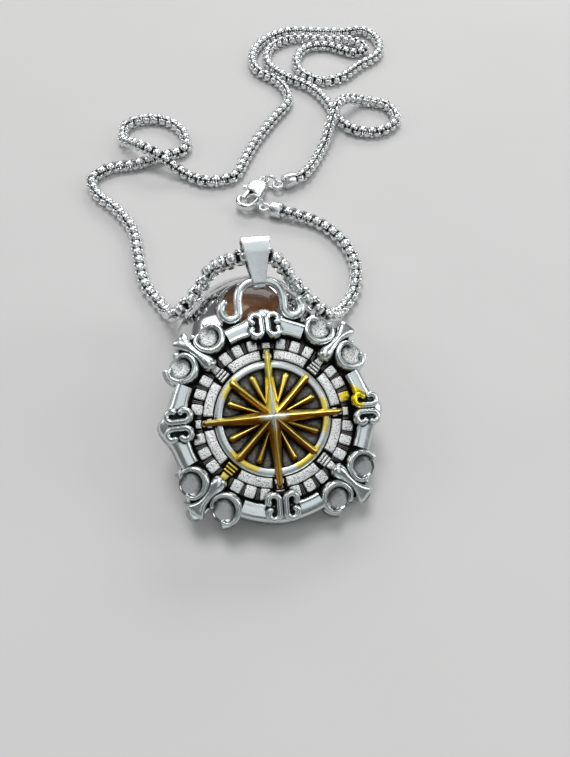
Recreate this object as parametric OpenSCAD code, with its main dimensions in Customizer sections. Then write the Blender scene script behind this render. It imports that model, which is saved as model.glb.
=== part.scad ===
/* [Pendant] */
// Radius of the round body, without its scrolls
body_r = 17.6; // [17:0.1:18]
// Thickness of the flared backing plate
plate_t = 2.6; // [2.2:0.1:2.8]
// How far the plate's back edge flares past its front edge
flare = 0.8; // [0.4:0.1:1]
// Height of the rim and the scrolls over the plate
relief_h = 2.4; // [2:0.1:2.6]
// Lean of the pendant from lying flat, in degrees
lean = 24; // [20:1:26]
// Sideways tilt of the pendant, in degrees
cant = 7; // [4:0.5:8]
// Turn of the pendant in its own plane, in degrees
roll = 8.8; // [6:0.2:10]

/* [Rim and scrolls] */
// Inner radius of the smooth rim
rim_in_r = 14.7; // [14.5:0.1:15]
// Outer radius of the smooth rim
rim_out_r = 17.2; // [17:0.1:17.6]
// How far the rim swells at the four points
rim_peak = 1.9; // [1:0.1:2.2]
// Distance of the scrolls' centres from the pendant's centre
scroll_ring_r = 17.9; // [17.7:0.1:18.2]
// Angle of each scroll from the nearest diagonal
scroll_half = 11.5; // [11:0.1:12]
// Radius of a scroll along the middle of its wire
scroll_r = 2.45; // [2.3:0.05:2.5]
// Width of a scroll's wire
scroll_w = 1.35; // [1.1:0.05:1.4]

/* [Dial] */
// Inner and outer radius of the raised ring round the star
ring_in_r = 8.7; // [8.5:0.1:9]
// Outer radius of that ring
ring_out_r = 9.9; // [9.6:0.1:10]
// Side of the small blocks round the dial
block = 1.75; // [1.5:0.05:1.9]
// Length of the four long rays
long_ray = 12; // [11.5:0.1:12.4]
// Length of the four diagonal rays
mid_ray = 9.6; // [9:0.1:9.8]
// Length of the eight short rays
short_ray = 8.5; // [7.8:0.1:8.6]
// Height of the star's middle over the raised ring
star_h = 2.6; // [2:0.1:3]

/* [Hanger and bail] */
// Radius of the hanger's arch along its wire
arch_r = 4.05; // [4:0.05:4.2]
// Radius of the hanger's two hooks along their wire
hook_r = 1.5; // [1.45:0.05:1.6]
// Radius of the hanger's wire
hanger_wire = 0.75; // [0.65:0.05:0.8]
// Width of the bail at its top
bail_top_w = 5.4; // [5:0.1:5.8]
// Width of the bail at its bottom
bail_low_w = 2.1; // [1.8:0.1:2.4]
// Thickness of the bail's sheet
bail_t = 0.6; // [0.5:0.05:0.6]

/* [Chain and clasp] */
// Thickness of the chain
chain_d = 3; // [2.8:0.1:3]
// Radius of a jump ring's wire
ring_wire = 0.35; // [0.3:0.05:0.35]
// Thickness of the clasp
clasp_t = 2.2; // [2:0.1:2.2]
// Width of the slot that the lever swings in
slot_w = 1.2; // [1.1:0.05:1.3]

/* [Stand] */
// Radius of the stand's ball-shaped body
foot_r = 16.4; // [16:0.1:16.5]
// Radius of the curve of the stand's dome
dome_r = 13; // [12.5:0.1:13]
// Radius of the dome's round edge
dome_edge_r = 6.6; // [6:0.1:7]

/* [Hidden] */
$fn = 48;

// Levels in the pendant's own frame, where 0 is the face that the sizes are read on
plate_top = -1.3;
plate_back = plate_top - plate_t;
relief_top = plate_top + relief_h;
dial_floor = plate_top + 0.4;
// Outer radius of a lobe of the plate under a scroll
lobe_r = scroll_r + scroll_w / 2 + 0.2;
// Places of the two scrolls beside one diagonal, from that diagonal
scroll_x = scroll_ring_r * sin(scroll_half);
scroll_y = scroll_ring_r * cos(scroll_half);
// Rise of the table's upright along the pendant's own three axes
up_x = cos(cant) * sin(lean) * sin(roll) - sin(cant) * cos(roll);
up_y = cos(cant) * sin(lean) * cos(roll) + sin(cant) * sin(roll);
up_z = cos(cant) * cos(lean);
// The lowest lobe meets the table, which sets the height of the pendant's centre
low_x = scroll_ring_r * sin(45 - scroll_half);
low_y = -scroll_ring_r * cos(45 - scroll_half);
low_reach = (lobe_r + flare) * norm([up_x, up_y]) - low_x * up_x - low_y * up_y;
pendant_x = 4.47;
pendant_y = -22.65;
pendant_z = low_reach - plate_back * up_z;
hanger_x = -0.1;
hanger_y = 20.75;
hook_y = 19.4;
hanger_level = plate_top + hanger_wire;
// Middle of the chain's hole in the bail, in the pendant's frame
bail_x = -0.2;
bail_y = 30;
bail_level = 0.1;
bail_hole_r = chain_d / 2 + 0.58;
bail_grip_r = hanger_wire + 0.18;
// The dome is tangent to the pendant's back, less a hair
dome_gap = 0.05;
normal = [cos(lean) * sin(cant), -sin(lean), up_z];
back_at = [pendant_x, pendant_y, pendant_z] + plate_back * normal;
dome_z = (normal * back_at - dome_r - dome_gap) / normal[2];
// Clasp: its tail, its direction on the table, and the height of its middle
clasp_x = 0.6;
clasp_y = 53.6;
clasp_z = 2.05;
clasp_turn = 244;
hook_at = 8.2;
hole_r = 1.65;
bow_r = 3.1;
pivot_x = 3;
pivot_y = -1.5;
pin_r = 0.35;
pin_play = 0.06;
lever_reach = 4.7;
tail_eye = 1.1;
eye_r = 1.2;
ring_a_r = 1.75;
ring_b_r = 2.2;
ring_slack = 0.2;
ring_a_turn = -25;
cap_r = 1.9;
cap_bore = 1.66;
cap_l = 2.9;
cap_z = 1.95;
cap_a_turn = 31;
cap_b_turn = -19;

// Unit vector on the table
function heading(a) = [cos(a), sin(a)];

// Middles of the tail's eye, of the two jump rings and of the eyes of the two end caps
tail_at = [clasp_x, clasp_y] - tail_eye * heading(clasp_turn);
ring_a_at = tail_at + (ring_a_r + ring_slack) * heading(ring_a_turn);
cap_a_at = ring_a_at + (ring_a_r + ring_slack) * heading(ring_a_turn);
bow_at = [clasp_x, clasp_y] + hook_at * heading(clasp_turn);
ring_b_turn = clasp_turn + 90;
ring_b_at = bow_at + (hole_r + bow_r) / 2 * heading(ring_b_turn);
cap_b_at = ring_b_at + (ring_b_r + ring_slack) * heading(ring_b_turn);

// Point of the chain's middle line at a distance from an end cap's eye
function from_cap(at, turn, d) = [each (at + d * heading(turn)), cap_z];

// Routes of the chain's middle line, in order along it
left_route = [
    [6.85, 4.95, 18.9], [5.5, 4.6, 21.9], [3.7, 3.9, 24.2], [1.3, 3.5, 24.5], [-1.4, 3.5, 24.3],
    [-4, 4.2, 22.4], [-6.3, 5.7, 19.9], [-8.2, 6.6, 17.2], [-9.4, 6.1, 15.2], [-10.7, 4.6, 14.2],
    [-12.2, 2.6, 13.5], [-14, 1.8, 11.7], [-15.8, 3.5, 8.6], [-17.3, 6.4, 5], [-19, 9.4, 2.4],
    [-21.5, 13, 1.5], [-25.3, 18.5, 1.5], [-28, 27, 1.5], [-30.5, 36, 1.5], [-36, 44, 1.5], [-42, 50, 1.5],
    [-44.2, 56, 1.5], [-40, 60.5, 1.5], [-34, 62, 1.5], [-27.2, 65.3, 1.5], [-21.3, 68.5, 1.5],
    [-22, 75.5, 1.5], [-26.5, 81.3, 1.5], [-33, 83.2, 1.5], [-38.8, 80, 1.5], [-38.7, 73, 1.7],
    [-34.4, 67.2, 4.4], [-30.6, 64.1, 5.1], [-26.6, 61.8, 4.4], [-20.8, 58.4, 1.7], [-14, 55, 1.5],
    [-7, 57, 1.5], [-4.5, 64, 1.5], [-1.5, 73, 1.5], [3, 83, 1.5], [7.5, 93, 1.5],
    [5, 102, 1.5], [-2.5, 110, 1.5], [-4, 119, 1.5], [0, 129, 1.5], [8, 134.3, 1.5],
    [17, 134, 1.5]
];
far_route = [
    [17, 134, 1.5], [26, 133.7, 1.5], [32.5, 135, 1.5], [37, 129, 1.5], [36.5, 119.5, 1.5],
    [30, 112.5, 1.5], [24.5, 106, 1.5], [18.5, 103.3, 1.5], [12.5, 107, 1.5], [10, 114.5, 1.5],
    [13, 123, 1.5], [20, 124.8, 1.5], [29, 120.3, 1.5], [32.8, 122.8, 1.5], [29.5, 127.8, 1.5],
    [20, 129, 1.5], [9, 129.5, 1.5], [2, 124, 1.5], [1, 114.5, 1.5], [6, 106.5, 1.5],
    [14.5, 99.6, 1.5], [19, 92, 1.5], [21.5, 84, 1.5], [26, 78, 1.5], [33, 77, 1.5],
    [38.5, 82.5, 1.5], [36.5, 90, 1.5], [29.5, 92.3, 1.8], [24.2, 88.8, 4.2], [21.3, 84, 5.1],
    [19.4, 78, 3.6], [16.5, 68.5, 1.6],
    from_cap(cap_a_at, cap_a_turn, 7.5), from_cap(cap_a_at, cap_a_turn, eye_r + 1.2)
];
near_route = [
    from_cap(cap_b_at, cap_b_turn, eye_r + 1.2), from_cap(cap_b_at, cap_b_turn, 7.5),
    [14.5, 39, 1.5], [20, 33, 1.5], [22.8, 25, 1.5], [22.2, 17, 1.5], [20.2, 12.7, 1.6],
    [18.3, 9.3, 2.6], [16.8, 5.8, 5.8], [15.6, 3.1, 9], [14.2, 1.6, 11.2], [12.2, 1.8, 13.5],
    [10, 3.3, 15], [8.2, 5.3, 15.9], [6.85, 4.95, 18.9]
];

// Direction of a route at one of its points
function along(route, i) =
    let(a = route[max(i - 1, 0)], b = route[min(i + 1, len(route) - 1)])
    (b - a) / norm(b - a);

// Ring of points round a route's point, its first side always level
function ring_at(route, i, r, sides) =
    let(d = along(route, i), h = cross([0, 0, 1], d), side = h / norm(h), up = cross(d, side))
    [for (k = [0 : sides - 1]) let(a = 360 * (k + 0.5) / sides)
        route[i] + r * (cos(a) * side + sin(a) * up)];

// Round tube swept along a route
module tube(route, d, sides = 8) {
    rings = len(route);
    r = d / 2 / cos(180 / sides);
    points = [for (i = [0 : rings - 1]) each ring_at(route, i, r, sides)];
    walls = [for (i = [0 : rings - 2]) for (k = [0 : sides - 1])
        let(a = i * sides + k, b = i * sides + (k + 1) % sides) [a + sides, b + sides, b, a]];
    first = [for (k = [0 : sides - 1]) k];
    last = [for (k = [sides - 1 : -1 : 0]) (rings - 1) * sides + k];
    polyhedron(points, concat(walls, [first, last]));
}

// Puts a thing modelled flat on the pendant's face into its leaning place
module on_pendant() {
    translate([pendant_x, pendant_y, pendant_z])
        rotate([0, cant, 0])
            rotate([lean, 0, 0])
                rotate([0, 0, roll])
                    children();
}

// Wedge of a ring between two angles, with square section
module arc_block(r_in, r_out, from, to, low, high) {
    rotate([0, 0, from])
        rotate_extrude(angle = to - from)
            translate([r_in, low])
                square([r_out - r_in, high - low]);
}

// Radius of the rim's edge near one of the four points
function swell(peak, a) = rim_out_r + peak * exp(-pow(a / 8.5, 2));

// One quarter's smooth rim, as far as the scrolls leave room
module rim(turn, peak) {
    half = 45 - 2 * scroll_half - 1.4;
    steps = 20;
    out = [for (i = [0 : steps]) let(a = -half + 2 * half * i / steps)
        swell(peak, a) * [cos(a), sin(a)]];
    in = [for (i = [steps : -1 : 0]) let(a = -half + 2 * half * i / steps)
        rim_in_r * [cos(a), sin(a)]];
    color("silver")
        on_pendant()
            rotate([0, 0, turn])
                translate([0, 0, plate_top])
                    linear_extrude(relief_h)
                        polygon(concat(out, in));
}

// Open ring with a rounded top and a ball at each end
module scroll(mouth, gap) {
    shoulder = relief_h - scroll_w / 2 + 0.1;
    for (end = [mouth + gap, mouth - gap])
        rotate([0, 0, end])
            translate([scroll_r - 0.25, 0, 0])
                cylinder(r = scroll_w / 2 + 0.12, h = relief_h - 0.1);
    rotate([0, 0, mouth + gap])
        rotate_extrude(angle = 360 - 2 * gap)
            translate([scroll_r, 0]) {
                translate([-scroll_w / 2, 0])
                    square([scroll_w, shoulder]);
                translate([0, shoulder])
                    intersection() {
                        circle(r = scroll_w / 2);
                        translate([-scroll_w, 0])
                            square([2 * scroll_w, scroll_w]);
                    }
            }
}

// Two scrolls and the flared stem between them, along one diagonal
module scroll_pair(diagonal) {
    stem = [[14.75, 1], [15.8, 0.95], [16.8, 0.55], [18, 0.4], [19.8, 0.55], [21.4, 1.3], [22, 1.1], [22.1, 0.25]];
    knob_low = dial_floor - plate_top + 0.05;
    right = [for (p = stem) p];
    left = [for (i = [len(stem) - 1 : -1 : 0]) [stem[i][0], -stem[i][1]]];
    color("silver")
        on_pendant()
            rotate([0, 0, diagonal])
                translate([0, 0, plate_top]) {
                    for (side = [-1, 1])
                        translate([scroll_y, side * scroll_x, 0])
                            scroll(side * 28, 38);
                    linear_extrude(relief_h)
                        polygon(concat(right, left));
                    translate([14.5, 0, knob_low])
                        cylinder(r1 = 1.2, r2 = 1, h = relief_h - knob_low + 0.2);
                }
}

// Open curl of a given radius that starts on the stroke and ends in a ball
module curl(at, r, from, sweep, w, h) {
    translate([at[0], at[1], 0]) {
        rotate([0, 0, min(from, from + sweep)])
            rotate_extrude(angle = abs(sweep))
                translate([r - w / 2, 0])
                    square([w, h]);
        rotate([0, 0, from + sweep])
            translate([r, 0, 0])
                cylinder(r = w * 0.65, h = h);
    }
}

// Raised scroll figure on the rim: a stroke with a curl at each end, and its mirror image
module figure(turn, from_middle) {
    spread = 1.6;
    tall = 0.95;
    w = 0.8;
    h = 0.75;
    r = 1.05;
    color("silver")
        on_pendant()
            rotate([0, 0, turn])
                translate([from_middle, 0, relief_top])
                    for (side = [-1, 1]) {
                        curl([tall, side * spread], r, side * -90, side * 205, w, h);
                        curl([-tall, side * spread], r, side * -90, side * -205, w, h);
                        translate([-tall, side * (spread - r) - w / 2, 0])
                            cube([2 * tall, w, h]);
                    }
}

module back_plate() {
    thick = plate_t;
    color("gainsboro")
        on_pendant()
            translate([0, 0, plate_back]) {
                cylinder(r1 = body_r + flare, r2 = body_r, h = thick);
                for (d = [45 : 90 : 315]) {
                    for (side = [-1, 1])
                        rotate([0, 0, d])
                            translate([scroll_y, side * scroll_x, 0])
                                cylinder(r1 = lobe_r + flare, r2 = lobe_r, h = thick);
                    rotate([0, 0, d])
                        translate([20.6, 0, 0])
                            cylinder(r1 = 1.6 + flare, r2 = 1.6, h = thick);
                }
                for (d = [0 : 90 : 180])
                    rotate([0, 0, d])
                        translate([rim_out_r - 0.9, 0, 0])
                            cylinder(r1 = 2.9 + flare, r2 = 2.9, h = thick);
                for (side = [-1, 1])
                    translate([hanger_x + side * (arch_r + hook_r), 16.8, 0])
                        cylinder(r1 = 1.9 + flare, r2 = 1.9, h = thick);
            }
}

module rim_north() { rim(90, rim_peak); }
module rim_east() { rim(0, rim_peak); }
module rim_south() { rim(270, 0.2); }
module rim_west() { rim(180, rim_peak); }

module scroll_north_west() { scroll_pair(135); }
module scroll_north_east() { scroll_pair(45); }
module scroll_south_east() { scroll_pair(315); }
module scroll_south_west() { scroll_pair(225); }

module figure_north() { figure(90, 16); }
module figure_east() { figure(0, 16); }
module figure_south() { figure(270, 15); }
module figure_west() { figure(180, 16); }

// Raised ring round the star, on a thin ring that carries the dial
module dial_ring() {
    color("silver")
        on_pendant()
            translate([0, 0, plate_top])
                difference() {
                    union() {
                        cylinder(r = rim_in_r - 0.15, h = dial_floor - plate_top);
                        cylinder(r = ring_out_r, h = 1.3);
                    }
                    translate([0, 0, -1])
                        cylinder(r = ring_in_r, h = 4);
                }
}

module dial_blocks() {
    mid_r = 13.1;
    color("silver")
        on_pendant()
            for (q = [0 : 90 : 270])
                for (a = [-33.75, -22.5, -11.25, 11.25, 22.5, 33.75])
                    rotate([0, 0, q + a])
                        translate([mid_r - block * 0.6, -block / 2, dial_floor])
                            cube([block * 1.2, block, 0.8]);
}

module dial_arcs() {
    color("silver")
        on_pendant()
            for (q = [0 : 90 : 270])
                for (side = [7, 54])
                    arc_block(ring_out_r + 0.3, 11.85, q + side, q + side + 29, dial_floor, dial_floor + 0.8);
}

// Grooved columns on the diagonals and small feet under the long rays' tips
module dial_columns() {
    color("silver")
        on_pendant()
            for (d = [0 : 45 : 315])
                rotate([0, 0, d])
                    if (d % 90 == 45) {
                        for (r = [10.5, 11.35, 12.2])
                            translate([r, -1.0, dial_floor])
                                cube([0.6, 2.0, 1.0]);
                        translate([10.3, -0.7, dial_floor])
                            cube([2.9, 1.4, 0.75]);
                    } else {
                        translate([10.5, -0.9, dial_floor])
                            cube([0.9, 1.8, 0.8]);
                        translate([12.4, -0.7, dial_floor])
                            cube([1.9, 1.4, 0.8]);
                    }
}

// Ray with a ridge along its back, from one radius to another
module ray(turn, from, to, w0, w1, low, edge0, edge1, ridge0, ridge1) {
    ends = [[from, w0, edge0, ridge0], [to, w1, edge1, ridge1]];
    points = [for (e = ends) each [
        [e[0], -e[1] / 2, low], [e[0], e[1] / 2, low],
        [e[0], e[1] / 2, e[2]], [e[0], 0, e[3]], [e[0], -e[1] / 2, e[2]]]];
    sides = [for (k = [0 : 4]) [k + 5, (k + 1) % 5 + 5, (k + 1) % 5, k]];
    rotate([0, 0, turn])
        polyhedron(points, concat(sides, [[0, 1, 2, 3, 4], [9, 8, 7, 6, 5]]));
}

// Eight-armed star on a hub that stands on the plate
module compass_star() {
    under = plate_top + 1.35;
    color("goldenrod")
        on_pendant() {
            for (q = [0 : 90 : 270])
                ray(q, 1.2, long_ray, 2.3, 0.75, under, 0.6, 0.2, star_h - 0.3, 0.6);
            for (q = [45 : 90 : 315])
                ray(q, 2.2, mid_ray, 1.15, 0.9, under, 0.4, 0.15, 1.3, 0.5);
            translate([0, 0, plate_top])
                cylinder(r = 2.6, h = 1.35);
            translate([0, 0, under])
                cylinder(r1 = 2.6, r2 = 0.3, h = star_h - 0.05);
        }
}

module short_rays() {
    color("goldenrod")
        on_pendant()
            for (q = [22.5 : 45 : 337.5])
                ray(q, 3.2, short_ray, 0.6, 0.9, plate_top, -0.2, -0.3, 0.4, 0.1);
}

// Wire hanger: an arch whose two ends turn out into hooks on the plate
module hanger_loop() {
    leg = hanger_y - hook_y;
    color("silver")
        on_pendant()
            translate([hanger_x, hanger_y, hanger_level]) {
                rotate_extrude(angle = 180)
                    translate([arch_r, 0])
                        circle(r = hanger_wire);
                for (side = [0, 1])
                    mirror([side, 0, 0]) {
                        translate([arch_r, -leg, 0])
                            rotate([-90, 0, 0])
                                cylinder(r = hanger_wire, h = leg);
                        translate([arch_r + hook_r, -leg, 0])
                            rotate([0, 0, 180])
                                rotate_extrude(angle = 220)
                                    translate([hook_r, 0])
                                        circle(r = hanger_wire);
                        translate([arch_r + hook_r + hook_r * cos(40), hook_r * sin(40) - leg, 0])
                            sphere(r = hanger_wire + 0.15);
                    }
            }
}

// Side view of the bail: two circles and the straight sides between them
module teardrop(r_top, r_low, d) {
    lean_out = asin((r_top - r_low) / d);
    side = [cos(lean_out), -sin(lean_out)];
    top = [0, d];
    circle(r = r_low);
    translate(top)
        circle(r = r_top);
    polygon([
        r_low * side, top + r_top * side,
        top + r_top * [-side[0], side[1]], r_low * [-side[0], side[1]]]);
}

module bail() {
    grip_y = hanger_y + arch_r;
    rise = [bail_x - hanger_x, bail_y - grip_y, bail_level - hanger_level];
    d = norm(rise);
    turn = atan2(-rise[0], rise[1]);
    tip = asin(rise[2] / d);
    color("silver")
        on_pendant()
            translate([hanger_x, grip_y, hanger_level])
                rotate([0, 0, turn])
                    rotate([tip, 0, 0])
                        intersection() {
                            rotate([0, -90, 0])
                                linear_extrude(bail_top_w + 2, center = true)
                                    difference() {
                                        teardrop(bail_hole_r + bail_t, bail_grip_r + bail_t, d);
                                        teardrop(bail_hole_r, bail_grip_r, d);
                                    }
                            translate([0, 0, -10])
                                linear_extrude(20)
                                    polygon([
                                        [-bail_low_w / 2, -2], [bail_low_w / 2, -2],
                                        [bail_top_w / 2, d + 3], [-bail_top_w / 2, d + 3]]);
                        }
}

module chain_left() {
    color("lightgray")
        tube(left_route, chain_d);
}

module chain_right() {
    color("lightgray") {
        tube(far_route, chain_d);
        tube(near_route, chain_d);
    }
}

// Cap on a chain's end, its length along +X from the middle of its eye
module end_cap(at, turn) {
    color("silver")
        translate([at[0], at[1], cap_z])
            rotate([0, 0, turn]) {
                rotate_extrude()
                    translate([eye_r, 0])
                        circle(r = ring_wire);
                translate([eye_r, 0, 0])
                    rotate([0, 90, 0])
                        cylinder(r1 = 0.7, r2 = cap_r, h = 0.6);
                translate([eye_r + 0.6, 0, 0])
                    rotate([0, 90, 0])
                        difference() {
                            cylinder(r = cap_r, h = cap_l);
                            translate([0, 0, 0.5])
                                cylinder(r = cap_bore, h = cap_l);
                        }
            }
}

// Ring that stands upright on the table
module jump_ring(at, turn, r) {
    color("silver")
        translate([at[0], at[1], r + ring_wire + 0.05])
            rotate([90, 0, turn])
                rotate_extrude()
                    translate([r, 0])
                        circle(r = ring_wire);
}

module end_cap_left() { end_cap(cap_a_at, cap_a_turn); }
module end_cap_right() { end_cap(cap_b_at, cap_b_turn); }
module jump_ring_left() { jump_ring(ring_a_at, ring_a_turn, ring_a_r); }
module jump_ring_right() { jump_ring(ring_b_at, ring_b_turn, ring_b_r); }

// Puts a thing modelled along +X from its tail into the clasp's place
module on_clasp() {
    translate([clasp_x, clasp_y, clasp_z])
        rotate([0, 0, clasp_turn])
            children();
}

// Claw with a bow at its end, an eye at its tail and a slotted shoulder for the lever
module clasp_body() {
    gate = hook_at - 0.4;
    color("lightgray")
        on_clasp() {
            difference() {
                translate([0, 0, -clasp_t / 2])
                    linear_extrude(clasp_t) {
                        translate([hook_at, 0])
                            circle(r = bow_r);
                        translate([2.6, -0.2])
                            circle(r = 2.3);
                        polygon([[2.6, -2.4], [4, -2.6], [hook_at, -2.9], [hook_at, 2.9], [2.6, 2]]);
                    }
                translate([hook_at, 0, -2])
                    cylinder(r = hole_r, h = 4);
                translate([4.4, -hole_r, -2])
                    cube([hook_at - 4.4, 2 * hole_r, 4]);
                translate([4.4, -bow_r - 1, -2])
                    cube([gate - 4.4, bow_r, 4]);
                translate([1.6, -bow_r - 1, -slot_w / 2])
                    cube([3.9, bow_r + 1.9, slot_w]);
            }
            translate([pivot_x, pivot_y, -clasp_t / 2])
                cylinder(r = pin_r, h = clasp_t);
            translate([-tail_eye, 0, 0])
                rotate_extrude()
                    translate([eye_r, 0])
                        circle(r = ring_wire);
            translate([-0.1, -1, -0.5])
                cube([1.5, 2, 1]);
        }
}

// Lever on the clasp's pin: hub, arm that shuts the bow, and a thumb tab
module clasp_lever() {
    t = slot_w - 0.2;
    arm = 0.85;
    color("lightgray")
        on_clasp()
            translate([pivot_x, pivot_y, -t / 2])
                difference() {
                    union() {
                        cylinder(r = 0.95, h = t);
                        translate([0, -arm / 2, 0])
                            cube([lever_reach - arm / 2, arm, t]);
                        translate([lever_reach - arm / 2, 0, 0])
                            cylinder(r = arm / 2, h = t);
                        linear_extrude(t)
                            polygon([[-0.3, -0.7], [0.5, -2], [1.1, -2], [1.1, -0.3]]);
                    }
                    translate([0, 0, -1])
                        cylinder(r = pin_r + pin_play, h = t + 2);
                }
}

// Height of the dome's surface at a distance from its axis
function dome_at(r) = dome_z + sqrt(dome_r * dome_r - r * r);

// Half ball with a shallow seat on top for the cap
module stand_foot() {
    color("silver")
        difference() {
            intersection() {
                sphere(r = foot_r);
                cylinder(r = foot_r + 1, h = foot_r);
            }
            translate([0, 0, dome_at(dome_edge_r) - 0.6])
                cylinder(r = dome_edge_r + 0.1, h = foot_r);
        }
}

// Cap of a ball, seated in the foot
module stand_dome() {
    color("saddlebrown")
        intersection() {
            translate([0, 0, dome_z])
                sphere(r = dome_r);
            translate([0, 0, dome_at(dome_edge_r) - 0.6])
                cylinder(r = dome_edge_r, h = dome_r);
        }
}

back_plate();
rim_north();
rim_east();
rim_south();
rim_west();
scroll_north_west();
scroll_north_east();
scroll_south_east();
scroll_south_west();
figure_north();
figure_east();
figure_south();
figure_west();
dial_ring();
dial_blocks();
dial_arcs();
dial_columns();
compass_star();
short_rays();
hanger_loop();
bail();
chain_left();
chain_right();
end_cap_left();
end_cap_right();
jump_ring_left();
jump_ring_right();
clasp_body();
clasp_lever();
stand_foot();
stand_dome();
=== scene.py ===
import math

import bmesh
import bpy
import numpy as np
from mathutils import Matrix, Vector
from mathutils.bvhtree import BVHTree


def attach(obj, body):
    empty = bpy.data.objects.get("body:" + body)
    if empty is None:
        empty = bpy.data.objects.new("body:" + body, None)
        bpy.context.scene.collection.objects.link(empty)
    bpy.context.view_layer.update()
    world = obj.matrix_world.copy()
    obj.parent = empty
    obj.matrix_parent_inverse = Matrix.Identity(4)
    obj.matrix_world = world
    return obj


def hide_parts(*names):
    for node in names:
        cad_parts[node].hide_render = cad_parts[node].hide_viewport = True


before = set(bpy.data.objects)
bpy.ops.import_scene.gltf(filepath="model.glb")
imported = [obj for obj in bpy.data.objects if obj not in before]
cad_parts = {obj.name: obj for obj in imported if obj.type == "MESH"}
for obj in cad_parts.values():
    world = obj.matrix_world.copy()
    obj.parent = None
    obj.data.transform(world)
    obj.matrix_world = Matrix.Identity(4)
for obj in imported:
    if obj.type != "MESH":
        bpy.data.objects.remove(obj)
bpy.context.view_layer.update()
mm = 0.001
rng = np.random.default_rng(7)


# meshes, in millimetres and degrees

def cosSin(degrees):
    return np.cos(np.radians(degrees)), np.sin(np.radians(degrees))


def polar(r, degrees, z=0.0, centre=(0.0, 0.0)):
    # points by radius, angle and height, round a centre
    r, degrees, z = np.broadcast_arrays(np.atleast_1d(r), degrees, z)
    c, s = cosSin(degrees)
    return np.column_stack([centre[0] + r * c, centre[1] + r * s, z])


def ramp(value, low, high):
    # 0 up to low, 1 from high on
    return np.clip((value - low) / (high - low), 0, 1)


def turned(points, degrees):
    # plan turn about the local normal
    c, s = cosSin(degrees)
    p = np.array(points, float)
    out = p.copy()
    out[:, 0] = p[:, 0] * c - p[:, 1] * s
    out[:, 1] = p[:, 0] * s + p[:, 1] * c
    return out


def moved(points, shift):
    return np.array(points, float) + np.array(shift, float)


class Shell:
    # collects loose closed parts of one piece, with a mark for each point
    def __init__(self):
        self.points = []
        self.faces = []
        self.marks = []
        self.count = 0

    def add(self, part, mark=0.0):
        points, faces = part
        points = np.array(points, float)
        self.points.append(points)
        self.faces.extend([tuple(i + self.count for i in f) for f in faces])
        self.marks.append(np.full(len(points), mark) if np.isscalar(mark) else np.array(mark))
        self.count += len(points)

    def arrays(self):
        return np.vstack(self.points), self.faces, np.concatenate(self.marks)


def shellOf(*parts):
    shell = Shell()
    for part in parts:
        shell.add(part)
    return shell


def loft(rings, capStart=True, capEnd=True, closed=True):
    n = len(rings[0])
    points = np.vstack(rings)
    faces = []
    last = n if closed else n - 1
    for i in range(len(rings) - 1):
        for k in range(last):
            a, b = i * n + k, i * n + (k + 1) % n
            faces.append((a, b, b + n, a + n))
    if capStart:
        faces.append(tuple(range(n - 1, -1, -1)))
    if capEnd:
        base = (len(rings) - 1) * n
        faces.append(tuple(range(base, base + n)))
    return points, faces


def inset(outline, d):
    # moves a counter-clockwise outline inwards by d
    p = np.array(outline, float)
    before = p - np.roll(p, 1, axis=0)
    after = np.roll(p, -1, axis=0) - p
    nb = np.stack([before[:, 1], -before[:, 0]], 1)
    na = np.stack([after[:, 1], -after[:, 0]], 1)
    nb /= np.linalg.norm(nb, axis=1)[:, None] + 1e-9
    na /= np.linalg.norm(na, axis=1)[:, None] + 1e-9
    k = 1 + (nb * na).sum(1)
    return p - d * (nb + na) / np.maximum(k, 0.4)[:, None]


def slab(outline, levels):
    # levels: inset and height
    return loft([np.column_stack([inset(outline, d), np.full(len(outline), z)]) for d, z in levels])


def bevelled(outline, low, high, r, steps=4):
    levels = [(0, low), (0, high - r)]
    for i in range(1, steps + 1):
        a = math.pi / 2 * i / steps
        levels.append((r * (1 - math.cos(a)), high - r + r * math.sin(a)))
    return slab(outline, levels)


def dense(outline, step):
    # adds points so that no edge of a closed outline is longer than step
    p = np.array(outline, float)
    out = []
    for a, b in zip(p, np.roll(p, -1, axis=0)):
        n = max(1, int(math.ceil(np.linalg.norm(b - a) / step)))
        out.extend(a + (b - a) * i / n for i in range(n))
    return np.array(out)


def mirrored(rows):
    # closed outline from rows of place and half width
    return [(x, -w) for x, w in rows] + [(x, w) for x, w in reversed(rows)]


def sweep(path, profile, scaleU, scaleV, baseV=0.0):
    # profile columns: across the path, and upwards from a base that keeps its height
    profile = np.array(profile, float)
    up = np.array([0.0, 0.0, 1.0])
    last = len(path) - 1
    rings = []
    for i, place in enumerate(path):
        side = np.cross(path[min(i + 1, last)] - path[max(i - 1, 0)], up)
        side /= np.linalg.norm(side)
        rings.append(place + np.outer(profile[:, 0] * scaleU[i], side)
                     + np.outer((profile[:, 1] - baseV) * scaleV[i] + baseV, up))
    return loft(rings)


def rounded(path, r, steps=6):
    # lengthens an open path by a round end at each side, and gives the scale along it
    c, s = cosSin(np.linspace(0, 90, steps + 1)[1:] * 0.985)
    start = path[0] - path[1]
    end = path[-1] - path[-2]
    head = path[0] + np.outer(r * s[::-1], start / np.linalg.norm(start))
    tail = path[-1] + np.outer(r * s, end / np.linalg.norm(end))
    return np.vstack([head, path, tail]), np.concatenate([c[::-1], np.ones(len(path)), c])


def circle(r, sides):
    return polar(r, np.linspace(0, 360, sides, endpoint=False))[:, :2]


def squared(a, b, degrees, powerA, powerB):
    # ellipse that powers under 1 fill out towards a rectangle
    c, s = cosSin(degrees)
    return np.column_stack([a * np.sign(c) * np.abs(c) ** powerA, b * np.sign(s) * np.abs(s) ** powerB])


def squareReach(degrees, power):
    # how far a circle is pushed out towards its corners
    c, s = np.abs(cosSin(degrees))
    return (c ** power + s ** power) ** (-1 / power)


def lathe(profile, segments, closed=False):
    # profile columns: radius and height
    r, z = np.array(profile, float).T
    rings = [polar(r, 360 * i / segments, z) for i in range(segments)]
    return loft(rings + rings[:1], False, False, closed)


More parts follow.
